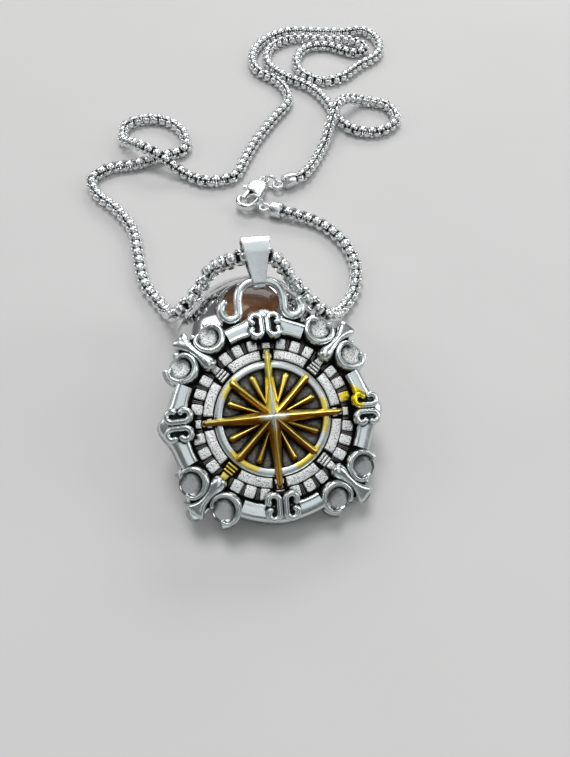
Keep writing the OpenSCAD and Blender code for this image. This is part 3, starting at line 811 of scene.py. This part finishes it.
def addRay(shell, kind, turn, longer=0.0):
    row = rays[kind]
    across = np.linspace(-1, 1, 13)
    start, end = row["r"][0], row["r"][1] + longer
    rings = []
    for t in np.linspace(0, 1, 27):
        half, edge, ridge = (np.interp(t, (0, 1), row[key]) for key in ("half", "edge", "ridge"))
        r = start + (end - start) * t
        intoTip = min(max((r - end) / row["tip"] + 1, 0.0), 0.985)
        taper = math.sqrt(1 - intoTip ** 2)
        half *= taper
        top = edge + (ridge - edge) * (1 - np.abs(across) ** row["power"])
        z = row["low"] + (top - row["low"]) * (0.4 + 0.6 * taper)
        face = np.column_stack([np.full(len(z), r), half * across, z])
        rings.append(np.vstack([face, [(r, half * 0.96, row["low"]), (r, -half * 0.96, row["low"])]]))
    points, faces = loft(rings)
    ridgeMarks = np.append(1 - np.abs(across), [0, 0]) * row["worn"]
    shell.add((turned(points, turn), faces), np.tile(ridgeMarks, len(rings)))


star, short = Shell(), Shell()
for kind, first in (("long", 0), ("middle", 45)):
    for turn in range(first, 360, 90):
        addRay(star, kind, turn)
star.add(lathe(rays["hub"], 48), rays["hubWorn"])
pendantPiece("compass_rays_long", star, castGold, ["compass_star"], sharp=22)
for turn in np.arange(22.5, 360, 45):
    addRay(short, "short", turn, slipBy(rays["lengthSlip"]))
pendantPiece("compass_rays_short", short, castGold, ["short_rays"], sharp=30)

# hanger: one wire bent to an arch with two hooks
hanger = {"x": -0.1, "y": 20.75, "legY": 19.4, "archR": 4.05, "archSquare": 2.5, "hookR": 1.5,
          "hookOpens": 0.42, "turnRight": 226, "turnLeft": 240, "z": -0.55, "wire": 0.8, "tip": 0.62}


def hangerPart():
    sides = []
    for side, turnBy in ((1, hanger["turnRight"]), (-1, hanger["turnLeft"])):
        a = np.linspace(0, 1, 40)
        r = hanger["hookR"] + hanger["hookOpens"] * ramp(a, 0.62, 1.0) ** 1.6
        hook = polar(r, 180 + turnBy * a, hanger["z"], (hanger["archR"] + hanger["hookR"], hanger["legY"]))
        hook[:, 0] = hanger["x"] + side * hook[:, 0]
        sides.append(hook)
    around = np.linspace(176, 4, 44)
    arch = polar(hanger["archR"] * squareReach(around, hanger["archSquare"]), around, hanger["z"],
                 (hanger["x"], hanger["y"]))
    path, scale = rounded(np.vstack([sides[1][::-1], arch, sides[0]]), hanger["tip"])
    ends = np.abs(np.linspace(-1, 1, len(path)))
    scale = scale * (1.02 - 0.14 * ramp(ends, 0.55, 1.0))  # the wire thins towards its hooks
    return sweep(path, circle(hanger["wire"], 18), scale, scale)


pendantPiece("hanger_wire", shellOf(hangerPart()), castSmooth, ["hanger_loop"])

# grid of the face's heights, two blurs of it, and what each counts; under: below the plate's top
hollows = {"step": 0.14, "left": -25, "right": 25, "low": -25, "high": 29, "floor": -3.5, "near": 0.35,
           "wide": 0.9, "nearCounts": 0.9, "wideCounts": 0.55, "under": (0.15, 0.55), "underValue": 0.27}


def spotsOf(mesh):
    spots = np.zeros(len(mesh.vertices) * 3)
    mesh.attributes["spot"].data.foreach_get("vector", spots)
    return spots.reshape(-1, 3)


def heightGrid(xs, ys):
    points, faces, base = [], [], 0
    for piece in pendantPieces:
        mesh = piece.data
        points.append(spotsOf(mesh))
        faces.extend([tuple(v + base for v in p.vertices) for p in mesh.polygons])
        base += len(mesh.vertices)
    tree = BVHTree.FromPolygons(np.vstack(points).tolist(), faces)
    heights = np.full((len(ys), len(xs)), hollows["floor"])
    down = Vector((0, 0, -1))
    for j, y in enumerate(ys):
        for i, x in enumerate(xs):
            hit = tree.ray_cast(Vector((x, y, 5)), down)[0]
            if hit is not None:
                heights[j, i] = hit.z
    return heights


def cavityMap():
    # how far each vertex lies below its surroundings
    step = hollows["step"]
    xs = np.arange(hollows["left"], hollows["right"], step)
    ys = np.arange(hollows["low"], hollows["high"], step)
    heights = heightGrid(xs, ys)

    def blurred(sigma):
        fy = np.fft.fftfreq(len(ys), step)[:, None]
        fx = np.fft.rfftfreq(len(xs), step)[None, :]
        g = np.exp(-2 * (math.pi * sigma) ** 2 * (fx ** 2 + fy ** 2))
        return np.fft.irfft2(np.fft.rfft2(heights) * g, s=heights.shape)

    def sample(grid, x, y):
        u = np.clip((x - xs[0]) / step, 0, len(xs) - 1.001)
        v = np.clip((y - ys[0]) / step, 0, len(ys) - 1.001)
        i, j = u.astype(int), v.astype(int)
        fx, fy = u - i, v - j
        return (grid[j, i] * (1 - fx) * (1 - fy) + grid[j, i + 1] * fx * (1 - fy)
                + grid[j + 1, i] * (1 - fx) * fy + grid[j + 1, i + 1] * fx * fy)

    near, wide = blurred(hollows["near"]), blurred(hollows["wide"])
    for piece in pendantPieces:
        x, y, z = spotsOf(piece.data).T
        value = hollows["nearCounts"] * (sample(near, x, y) - z)
        value += hollows["wideCounts"] * (sample(wide, x, y) - z)
        under = ramp(plate["top"] - z, *hollows["under"])  # flared side and back are cleaner
        value = np.clip(value, -1, 1.5) * (1 - under) + hollows["underValue"] * under
        piece.data.attributes["cavity"].data.foreach_set("value", value)


cavityMap()

print("stage: bail")
plainSilver = castMetal("silver_polished", (0.74, 0.76, 0.76, 1), (0.05, 0.05, 0.05, 1), pits=0.05,
                        rough=0.16, bump=0.08)

# section of the sheet: side, shift from the edge in shares of the rounding, and height in half thicknesses
bail = {"x": -0.2, "y": 30.0, "z": 0.1, "square": 3.4, "topR": 2.08, "lowR": 0.93, "thick": 0.6,
        "lowHalf": 0.88, "topHalf": 2.86, "edge": 0.12,
        "section": [(-1, 0, -0.4), (-1, 0, 0.4), (-1, 0.5, 0.86), (-1, 1, 1.0), (0, 0, 1.0), (1, -1, 1.0),
                    (1, -0.5, 0.86), (1, 0, 0.4), (1, 0, -0.4), (1, -0.5, -0.86), (1, -1, -1.0), (0, 0, -1.0),
                    (-1, 1, -1.0), (-1, 0.5, -0.86)]}


def between(a, b, count):
    # points on the straight line between two points, both left out
    t = np.linspace(0, 1, count + 2)[1:-1, None]
    return a * (1 - t) + b * t


def bailLoop(d, lean, extra):
    # side view: y along the bail, z across it; a teardrop round two circles
    around = np.linspace(90 + lean, -90 - lean, 40)
    fold = (around > 0) & (around < 90)  # its front is crisper
    crisp = np.where(fold, squareReach(around, bail["square"]), 1.0)
    top = polar((bail["topR"] + extra) * crisp, around, 0, (d, 0))[:, :2]
    low = polar(bail["lowR"] + extra, np.linspace(-90 - lean, -270 + lean, 20))[:, :2]
    return np.vstack([top, between(top[-1], low[0], 12), low, between(low[-1], top[0], 12)])


def bailPart():
    grip = np.array([hanger["x"], hanger["y"] + hanger["archR"], hanger["z"]])
    rise = np.array([bail["x"], bail["y"], bail["z"]]) - grip
    d = float(np.linalg.norm(rise))
    lean = math.degrees(math.asin((bail["topR"] - bail["lowR"]) / d))
    outer, inner = bailLoop(d, lean, bail["thick"]), bailLoop(d, lean, 0.0)
    side, shift, level = np.array(bail["section"]).T
    rings = []
    for (y, z), (halfY, halfZ) in zip((outer + inner) / 2, (outer - inner) / 2):
        width = bail["lowHalf"] + (y + 2) / (d + 5) * (bail["topHalf"] - bail["lowHalf"])
        across = side * width + shift * bail["edge"]
        rings.append(np.column_stack([across, y + level * halfY, z + level * halfZ]))
    points, faces = loft(rings + rings[:1], False, False)
    x, y, z = points.T
    s = rise[2] / d
    c = math.sqrt(1 - s * s)
    tipped = np.column_stack([x, y * c - z * s, y * s + z * c])
    return moved(turned(tipped, math.degrees(math.atan2(-rise[0], rise[1]))), grip), faces


pieceFrom("bail_sheet", shellOf(bailPart()), plainSilver, ["bail"], pendantSpace, sharp=30)

print("stage: chain")
# its dark colour serves the painted shade where the links meet
chainSteel = castMetal("chain_steel", (0.85, 0.87, 0.87, 1), (0.06, 0.06, 0.06, 1), pits=0.05, rough=0.16,
                       bump=0.1)
# two jump rings and end caps, a with the far strand and b with the near one
clasp = {"x": 0.6, "y": 53.6, "z": 2.05, "turn": 244.0, "hookAt": 8.2, "holeR": 1.65, "bowR": 3.1,
         "pivot": (3.0, -1.5), "tailEye": 1.1, "eyeR": 1.2, "wire": 0.35, "ringA": 1.75, "ringB": 2.2,
         "slack": 0.2, "ringTurnA": -25.0, "ringTurnB": 334.0, "capR": 1.9, "capL": 2.9, "capZ": 1.95,
         "capTurnA": 31.0, "capTurnB": -19.0}


def heading(a):
    return np.array(cosSin(a))


claspAt = np.array([clasp["x"], clasp["y"]])
tailAt = claspAt - clasp["tailEye"] * heading(clasp["turn"])
ringAtA = tailAt + (clasp["ringA"] + clasp["slack"]) * heading(clasp["ringTurnA"])
capAtA = ringAtA + (clasp["ringA"] + clasp["slack"]) * heading(clasp["ringTurnA"])
bowAt = claspAt + clasp["hookAt"] * heading(clasp["turn"])
ringAtB = bowAt + (clasp["holeR"] + clasp["bowR"]) / 2 * heading(clasp["ringTurnB"])
capAtB = ringAtB + (clasp["ringB"] + clasp["slack"]) * heading(clasp["ringTurnB"])


def fromCap(at, turn, d):
    p = at + d * heading(turn)
    return (p[0], p[1], clasp["capZ"])


leftRoute = [
    (6.85, 4.95, 18.9), (5.5, 4.6, 21.9), (3.7, 3.9, 24.2), (1.3, 3.5, 24.5), (-1.4, 3.5, 24.3),
    (-4, 4.2, 22.4), (-6.3, 5.7, 19.9), (-8.2, 6.6, 17.2), (-9.4, 6.1, 15.2), (-10.7, 4.6, 14.2),
    (-12.2, 2.6, 13.5), (-14, 1.8, 11.7), (-15.8, 3.5, 8.6), (-17.3, 6.4, 5), (-19, 9.4, 2.4),
    (-21.5, 13, 1.5), (-25.3, 18.5, 1.5), (-28, 27, 1.5), (-30.5, 36, 1.5), (-36, 44, 1.5), (-42, 50, 1.5),
    (-44.2, 56, 1.5), (-40, 60.5, 1.5), (-34, 62, 1.5), (-27.2, 65.3, 1.5), (-21.3, 68.5, 1.5),
    (-22, 75.5, 1.5), (-26.5, 81.3, 1.5), (-33, 83.2, 1.5), (-38.8, 80, 1.5), (-38.7, 73, 1.7),
    (-34.4, 67.2, 4.4), (-30.6, 64.1, 5.1), (-26.6, 61.8, 4.4), (-20.8, 58.4, 1.7), (-14, 55, 1.5),
    (-7, 57, 1.5), (-4.5, 64, 1.5), (-1.5, 73, 1.5), (3, 83, 1.5), (7.5, 93, 1.5),
    (5, 102, 1.5), (-2.5, 110, 1.5), (-4, 119, 1.5), (0, 129, 1.5), (8, 134.3, 1.5),
    (17, 134, 1.5)]
farRoute = [
    (17, 134, 1.5), (26, 133.7, 1.5), (32.5, 135, 1.5), (37, 129, 1.5), (36.5, 119.5, 1.5),
    (30, 112.5, 1.5), (24.5, 106, 1.5), (18.5, 103.3, 1.5), (12.5, 107, 1.5), (10, 114.5, 1.5),
    (13, 123, 1.5), (20, 124.8, 1.5), (29, 120.3, 1.5), (32.8, 122.8, 1.5), (29.5, 127.8, 1.5),
    (20, 129, 1.5), (9, 129.5, 1.5), (2, 124, 1.5), (1, 114.5, 1.5), (6, 106.5, 1.5),
    (14.5, 99.6, 1.5), (19, 92, 1.5), (21.5, 84, 1.5), (26, 78, 1.5), (33, 77, 1.5),
    (38.5, 82.5, 1.5), (36.5, 90, 1.5), (29.5, 92.3, 1.8), (24.2, 88.8, 4.2), (21.3, 84, 5.1),
    (19.4, 78, 3.6), (16.5, 68.5, 1.6),
    fromCap(capAtA, clasp["capTurnA"], 7.5), fromCap(capAtA, clasp["capTurnA"], 2.4)]
nearRoute = [
    fromCap(capAtB, clasp["capTurnB"], 2.4), fromCap(capAtB, clasp["capTurnB"], 7.5),
    (14.5, 39, 1.5), (20, 33, 1.5), (22.8, 25, 1.5), (22.2, 17, 1.5), (20.2, 12.7, 1.6),
    (18.3, 9.3, 2.6), (16.8, 5.8, 5.8), (15.6, 3.1, 9), (14.2, 1.6, 11.2), (12.2, 1.8, 13.5),
    (10, 3.3, 15), (8.2, 5.3, 15.9), (6.85, 4.95, 18.9)]

# lifted: heights between which the links turn onto their corners
link = {"pitch": 1.3, "long": 2.5, "wide": 3.02, "thick": 0.64, "band": 1.5, "square": 0.78, "curveSteps": 24,
        "roll": 12, "liftedRoll": 33, "lifted": (2.5, 8.5), "sway": 10, "swayLength": 23.0, "rollSlip": 4}


def spline(points, per):
    # centripetal curve through the points
    p = np.array(points, float)
    p = np.vstack([2 * p[0] - p[1], p, 2 * p[-1] - p[-2]])
    out = []
    for i in range(1, len(p) - 2):
        p0, p1, p2, p3 = p[i - 1], p[i], p[i + 1], p[i + 2]
        t0 = 0.0
        t1 = t0 + np.linalg.norm(p1 - p0) ** 0.5
        t2 = t1 + np.linalg.norm(p2 - p1) ** 0.5
        t3 = t2 + np.linalg.norm(p3 - p2) ** 0.5
        for t in np.linspace(t1, t2, per, endpoint=False):
            a1 = (t1 - t) / (t1 - t0) * p0 + (t - t0) / (t1 - t0) * p1
            a2 = (t2 - t) / (t2 - t1) * p1 + (t - t1) / (t2 - t1) * p2
            a3 = (t3 - t) / (t3 - t2) * p2 + (t - t2) / (t3 - t2) * p3
            b1 = (t2 - t) / (t2 - t0) * a1 + (t - t0) / (t2 - t0) * a2
            b2 = (t3 - t) / (t3 - t1) * a2 + (t - t1) / (t3 - t1) * a3
            out.append((t2 - t) / (t2 - t1) * b1 + (t - t1) / (t2 - t1) * b2)
    out.append(p[-2])
    return np.array(out)


def linkLoop():
    # one link in its own frame: x along the chain, y across, z through its hole
    sides = 24
    t = np.linspace(0, 360, sides, endpoint=False) + 180 / sides
    path = squared((link["long"] - link["thick"]) / 2, (link["wide"] - link["thick"]) / 2, t,
                   link["square"], link["square"])
    across, high = squared(link["thick"] / 2, link["band"] / 2, np.arange(18, 378, 36), 0.9, 0.8).T
    rings = []
    for i in range(sides):
        d = path[(i + 1) % sides] - path[i - 1]
        d /= np.linalg.norm(d)
        plump = 0.84 + 0.24 * cosSin(t[i])[1] ** 2  # fullest at the middle of the two long sides
        rings.append(np.column_stack([path[i][0] + d[1] * across * plump, path[i][1] - d[0] * across * plump,
                                      high * plump]))
    return loft(rings + rings[:1], False, False)


def chainFrames():
    # places and directions of the links, where the left strand starts and ends, and the whole length
    curve = spline(np.vstack([nearRoute[:-1], leftRoute[:-1], farRoute]), link["curveSteps"])
    dist = np.concatenate([[0], np.cumsum(np.linalg.norm(np.diff(curve, axis=0), axis=1))])
    count = int(dist[-1] // link["pitch"])
    at = np.arange(count + 1) * (dist[-1] / count)
    place = np.column_stack([np.interp(at, dist, curve[:, k]) for k in range(3)])
    tangent = np.gradient(place, axis=0)
    tangent /= np.linalg.norm(tangent, axis=1)[:, None]
    splitA = dist[(len(nearRoute) - 1) * link["curveSteps"]]
    splitB = dist[(len(nearRoute) + len(leftRoute) - 2) * link["curveSteps"]]
    return place, tangent, at, splitA, splitB, dist[-1]


def buildChain():
    base, faces = linkLoop()
    outness = np.hypot(base[:, 1], base[:, 2])
    place, tangent, at, splitA, splitB, total = chainFrames()
    left, right = Shell(), Shell()
    for i, t in enumerate(tangent):
        side = np.cross((0, 0, 1), t)
        side /= np.linalg.norm(side)
        up = np.cross(t, side)
        lifted = ramp(place[i][2], *link["lifted"])
        sway = link["sway"] * math.sin(at[i] / link["swayLength"]) * (1 - lifted)
        roll = link["roll"] + link["liftedRoll"] * lifted + sway + slipBy(link["rollSlip"])
        c, s = cosSin(roll + 90 * (i % 2))
        y = side * c + up * s
        z = up * c - side * s
        points = place[i] + np.outer(base[:, 0], t) + np.outer(base[:, 1], y) + np.outer(base[:, 2], z)
        target = left if splitA <= at[i] <= splitB else right
        target.add((points, faces), outness)
    print("chain length", round(total, 1), "links", len(place))
    return left, right


def chainPiece(name, shell, node):
    # painted shade: a link is darker towards the chain's middle line, where the links pass through each other
    piece = pieceFrom(name, shell, chainSteel, [node], sharp=50)
    dark = np.clip((1.12 - shell.arrays()[2]) * 1.1, 0, 0.8)
    piece.data.attributes["cavity"].data.foreach_set("value", dark)


chainLeft, chainRight = buildChain()
chainPiece("chain_links_left", chainLeft, "chain_left")
chainPiece("chain_links_right", chainRight, "chain_right")

print("stage: clasp")


def placed(points, at, z, turn):
    return moved(turned(points, turn), (at[0], at[1], z))


def capShell(at, turn):
    # end cap with a groove near its mouth, on a small eye
    e, r, length = clasp["eyeR"], clasp["capR"], clasp["capL"] + 0.6
    profile = [(0.02, 0.05), (0.55, 0.0), (0.75, 0.2), (1.25, 0.45), (r - 0.2, 0.6), (r, 0.8), (r, 1.0),
               (r - 0.1, 1.08), (r - 0.1, 1.2), (r, 1.28), (r, length - 0.15), (r - 0.1, length),
               (1.68, length), (1.6, length - 0.2), (1.58, 1.2), (0.02, 1.1)]
    eye, eyeFaces = torus(e, clasp["wire"])
    sleeve, sleeveFaces = lathe(moved(profile, (0, e)), 40)
    return shellOf((placed(eye, at, clasp["capZ"], turn), eyeFaces),
                   (placed(sleeve[:, [2, 0, 1]], at, clasp["capZ"], turn), sleeveFaces))


def ringShell(at, turn, r):
    points, faces = torus(r, clasp["wire"])
    upright = np.column_stack([points[:, 0], -points[:, 2], points[:, 1]])
    return shellOf((placed(upright, at, r + clasp["wire"] + 0.05, turn), faces))


def silverPiece(name, shell, node, space=None, body="necklace"):
    pieceFrom(name, shell, plainSilver, [node], space, body)


silverPiece("end_cap_a", capShell(capAtA, clasp["capTurnA"]), "end_cap_left")
silverPiece("end_cap_b", capShell(capAtB, clasp["capTurnB"]), "end_cap_right")
silverPiece("jump_ring_a", ringShell(ringAtA, clasp["ringTurnA"], clasp["ringA"]), "jump_ring_left")
silverPiece("jump_ring_b", ringShell(ringAtB, clasp["ringTurnB"], clasp["ringB"]), "jump_ring_right")

# outlines of the clasp in its own frame, x to the bow; levels: inset and height
claw = {"r": 2.36, "half": 0.72, "high": 1.1, "square": 0.75, "tip": 0.5,
        "arm": [(3.4, 1.35, 0), (4.6, 1.75, 0), (5.8, 2.1, 0), (7.0, 2.33, 0)]}
shoulder = {"back": [(4.4, 2.3), (2.8, 2.15), (1.4, 1.7), (0.4, 1.0)],
            "cheek": [(0.2, -0.9), (1.0, -1.9), (2.0, -2.45), (3.2, -2.6), (4.2, -2.35), (4.45, -1.5),
                      (4.6, -0.4), (5.2, 0.5), (5.6, 1.6)],
            "web": [(0.2, -0.9), (0.9, -1.7), (1.55, -1.9), (1.6, 0.85), (5.3, 0.9), (5.6, 1.6)],
            "cheekLevels": [(0, 0.6), (0, 0.88), (0.07, 1.02), (0.25, 1.1)], "webHalf": 0.62}
lever = {"hubR": 0.93, "tipAt": 4.27, "tipR": 0.4,
         "under": [(-0.1, -1.3), (0.35, -1.95), (0.75, -2.08), (1.1, -1.95), (1.0, -1.2), (1.3, -0.48),
                   (2.6, -0.40), (4.1, -0.38)],
         "over": [(4.1, 0.40), (2.6, 0.42), (1.2, 0.42), (0.6, 0.8)],
         "levels": [(0.1, -0.5), (0, -0.38), (0, 0.38), (0.1, 0.5)]}
neck = {"rows": [(-0.1, 0.55), (1.4, 0.9)], "levels": [(0.1, -0.45), (0, -0.3), (0, 0.3), (0.1, 0.45)]}
pinHead = {"z": 1.12, "profile": [(0.02, 0.05), (0.36, 0.05), (0.42, 0.0), (0.36, -0.06), (0.02, -0.08)]}


def claspShell():
    # claw, from the shoulder round the bow to the nose
    shell = Shell()
    bow = polar(claw["r"], np.linspace(88, -97, 34), 0, (clasp["hookAt"], 0))
    path, scale = rounded(np.vstack([claw["arm"], bow]), claw["tip"], 4)
    section = squared(claw["half"], claw["high"], np.linspace(0, 360, 16, endpoint=False),
                      claw["square"], claw["square"])
    taper = np.linspace(1.08, 0.84, len(path))
    shell.add(sweep(path, section, np.maximum(scale, 0.35) * taper, np.maximum(scale, 0.5) * taper))
    # shoulder with its slot: two cheeks and the web between them
    cheek = dense(shoulder["cheek"] + shoulder["back"], 0.3)
    shell.add(slab(cheek, [(d, -z) for d, z in reversed(shoulder["cheekLevels"])]))
    shell.add(slab(cheek, shoulder["cheekLevels"]))
    web = dense(shoulder["web"] + shoulder["back"], 0.4)
    shell.add(slab(web, [(0, -shoulder["webHalf"]), (0, shoulder["webHalf"])]))
    for side in (-1, 1):
        points, faces = lathe([(r, -side * z) for r, z in pinHead["profile"]], 20)
        shell.add((moved(points, (*clasp["pivot"], side * pinHead["z"])), faces))
    points, faces = torus(clasp["eyeR"], clasp["wire"])
    shell.add((moved(points, (-clasp["tailEye"], 0, 0)), faces))
    shell.add(slab(dense(mirrored(neck["rows"]), 0.3), neck["levels"]))
    return shell


def leverPart():
    hub = polar(lever["hubR"], np.linspace(110, 250, 12))[:, :2]
    tip = polar(lever["tipR"], np.linspace(-80, 80, 8), 0, (lever["tipAt"], 0))[:, :2]
    outline = dense(np.vstack([hub, lever["under"], tip, lever["over"]]), 0.25)
    return slab(moved(outline, clasp["pivot"]), lever["levels"])


claspSpace = (Matrix.Translation((clasp["x"], clasp["y"], clasp["z"]))
              @ Matrix.Rotation(math.radians(clasp["turn"]), 4, "Z"))
silverPiece("clasp_claw", claspShell(), "clasp_body", claspSpace)
silverPiece("clasp_gate", shellOf(leverPart()), "clasp_lever", claspSpace, body="lever")

print("stage: stand")
standSteel = castMetal("stand_steel", (0.64, 0.645, 0.64, 1), (0.04, 0.04, 0.04, 1), pits=0.0, rough=0.0,
                       bump=0.05)
stand = {"bodyR": 16.4, "domeR": 13.0, "edgeR": 6.6, "gap": 0.05, "bezelR": 5.3, "bezelRise": 0.11}
# far: colour of the painted shade towards the back of the cap
wood = {"stretch": (0.22, 1.6, 1.6), "grain": 1.6, "pores": 9.0, "dark": (0.06, 0.018, 0.007, 1),
        "light": (0.38, 0.16, 0.045, 1), "pore": (0.05, 0.015, 0.006, 1), "far": (0.030, 0.012, 0.007, 1),
        "coat": 0.4, "coatRough": 0.04, "specular": 0.25, "bump": 0.15}


def lacqueredWood():
    # brown grain under a gloss coat, with painted shade: darker towards the back
    material, tree, shader = newMaterial("stand_wood")
    spot = attribute(tree, "spot", "Vector")
    stretch = addNode(tree, "ShaderNodeMapping", {"Vector": spot, "Scale": wood["stretch"]}).outputs["Vector"]
    grain = noise(tree, stretch, wood["grain"], 6.0, 0.62)
    pores = noise(tree, stretch, wood["pores"], 2.0, 0.5)
    tone = blendColour(tree, remap(tree, grain, 0.3, 0.72), wood["dark"], wood["light"])
    tone = blendColour(tree, remap(tree, pores, 0.42, 0.30), tone, wood["pore"])
    # painted shade: the cap darkens towards its back
    tone = blendColour(tree, remap(tree, split(tree, spot)["Y"], -2.0, 3.5, 0.0, 0.85), tone, wood["far"])
    tree.links.new(tone, shader["Base Color"])
    tree.links.new(remap(tree, grain, 0.2, 0.8, 0.32, 0.5), shader["Roughness"])
    shader["Coat Weight"].default_value = wood["coat"]
    shader["Coat Roughness"].default_value = wood["coatRough"]
    shader["Specular IOR Level"].default_value = wood["specular"]
    lift = addNode(tree, "ShaderNodeBump", {"Strength": wood["bump"], "Distance": 0.0001, "Height": grain})
    tree.links.new(lift.outputs["Normal"], shader["Normal"])
    return material


def domeLevel():
    # height of the dome's centre, so that the pendant's back rests just off it
    normal = pendantSpace.to_3x3() @ Vector((0, 0, 1))
    backAt = pendantSpace.translation + plate["back"] * normal
    return (normal.dot(backAt) - stand["domeR"] - stand["gap"]) / normal[2]


domeZ = domeLevel()


def domeAt(r):
    return domeZ + math.sqrt(stand["domeR"] ** 2 - r * r)


def footPart():
    # half ball with a seat for the cap
    body, edge = stand["bodyR"], stand["edgeR"]
    seat = domeAt(edge) - 0.6
    lip = math.degrees(math.acos((edge + 0.3) / body))
    ballSide = polar(body, np.linspace(1.5, lip, 60))[:, :2]
    base = [(0.02, 0.0), (body - 0.45, 0.0), (body - 0.12, 0.08), (body - 0.02, 0.3)]
    rim = [(edge + 0.16, seat + 0.12), (edge + 0.06, seat + 0.02), (edge - 0.1, seat)]
    return lathe(np.vstack([base, ballSide, rim]), 160)


def bezelPart():
    # polished band round the cap's edge: radius, and rise over the dome
    bezel, edge = stand["bezelR"], stand["edgeR"]
    band = [(bezel, -0.4), (bezel + 0.02, 0.0)]
    for t in np.linspace(0.04, 0.96, 12):
        band.append((bezel + t * (edge - bezel), 0.05 + stand["bezelRise"] * math.sin(math.pi * t) ** 0.6))
    band += [(edge + 0.02, 0.0), (edge + 0.04, -0.55), (edge - 0.2, -0.6)]
    return lathe([(r, domeAt(r) + rise) for r, rise in band], 160, closed=True)


def capPart():
    edge = stand["edgeR"]
    level = domeAt(edge)
    side = [(edge - 0.15, level - 0.6), (edge - 0.02, level - 0.25), (edge - 0.1, level - 0.06)]
    return lathe(side + [(r, domeAt(r)) for r in np.linspace(edge - 0.3, 0.02, 24)], 96)


pieceFrom("stand_body", shellOf(footPart(), bezelPart()), standSteel, ["stand_foot"], sharp=30)
pieceFrom("stand_cap", shellOf(capPart()), lacqueredWood(), ["stand_dome"])

print("stage: studio")
floorSize = 1.6
material, tree, shader = newMaterial("floor_pale")
coords = addNode(tree, "ShaderNodeTexCoord").outputs["Object"]
pale = blendColour(tree, noise(tree, coords, 30.0), (0.60, 0.595, 0.585, 1), (0.63, 0.625, 0.615, 1))
tree.links.new(pale, shader["Base Color"])
shader["Roughness"].default_value = 0.85
mesh = bpy.data.meshes.new("floor")
corners = [(x * floorSize, y * floorSize, 0) for x, y in ((-1, -1), (1, -1), (1, 1), (-1, 1))]
mesh.from_pydata(corners, [], [(0, 1, 2, 3)])
mesh.materials.append(material)
floor = bpy.data.objects.new("floor", mesh)
bpy.context.scene.collection.objects.link(floor)

# focal length in pixels of the photograph's height
view = {"eye": (0.0065, -0.073, 0.0986), "down": 55.96, "focal": 580, "height": 757, "sensor": 36.0}
camera = bpy.data.cameras.new("camera")
camera.sensor_fit = "VERTICAL"
camera.sensor_height = view["sensor"]
camera.lens = view["focal"] / view["height"] * view["sensor"]
camera.clip_start = 0.005
eye = bpy.data.objects.new("camera", camera)
eye.location = view["eye"]
eye.rotation_euler = (math.radians(90 - view["down"]), 0, 0)
bpy.context.scene.collection.objects.link(eye)
bpy.context.scene.camera = eye


def softbox(name, place, target, width, height, power, colour=(1, 1, 1)):
    light = bpy.data.lights.new(name, "AREA")
    light.shape = "RECTANGLE"
    light.size = width
    light.size_y = height
    light.energy = power
    light.color = colour
    box = bpy.data.objects.new(name, light)
    box.location = place
    box.rotation_euler = (Vector(target) - Vector(place)).to_track_quat("-Z", "Y").to_euler()
    bpy.context.scene.collection.objects.link(box)


sun = {"power": 1.3, "angle": 26, "from": (-0.06, 0.22, 0.56)}
coolWhite = (0.93, 0.98, 1.0)
softbox("over_box", (0.09, -0.15, 0.60), (0, -0.02, 0), 0.56, 0.50, 0.64, coolWhite)
softbox("front_box", (0.05, -0.47, 0.40), (0, 0, 0.02), 0.26, 0.22, 0.15, coolWhite)
key = bpy.data.objects.new("key", bpy.data.lights.new("key", "SUN"))
key.data.energy = sun["power"]
key.data.angle = math.radians(sun["angle"])
key.rotation_euler = Vector(sun["from"]).to_track_quat("Z", "Y").to_euler()
bpy.context.scene.collection.objects.link(key)
softbox("left_box", (-0.50, 0.16, 0.34), (0, 0, 0), 0.26, 0.36, 0.65)
softbox("back_box", (0.10, 0.60, 0.34), (0, 0.05, 0), 0.50, 0.20, 1.6)
softbox("right_box", (0.5, 0.02, 0.26), (0, 0, 0), 0.14, 0.34, 0.7)
world = bpy.data.worlds.new("studio")
world.use_nodes = True
background = world.node_tree.nodes["Background"].inputs
background["Color"].default_value = (0.80, 0.82, 0.85, 1)
background["Strength"].default_value = 0.20
bpy.context.scene.world = world
bpy.context.scene.view_settings.view_transform = "Standard"

bpy.context.view_layer.update()
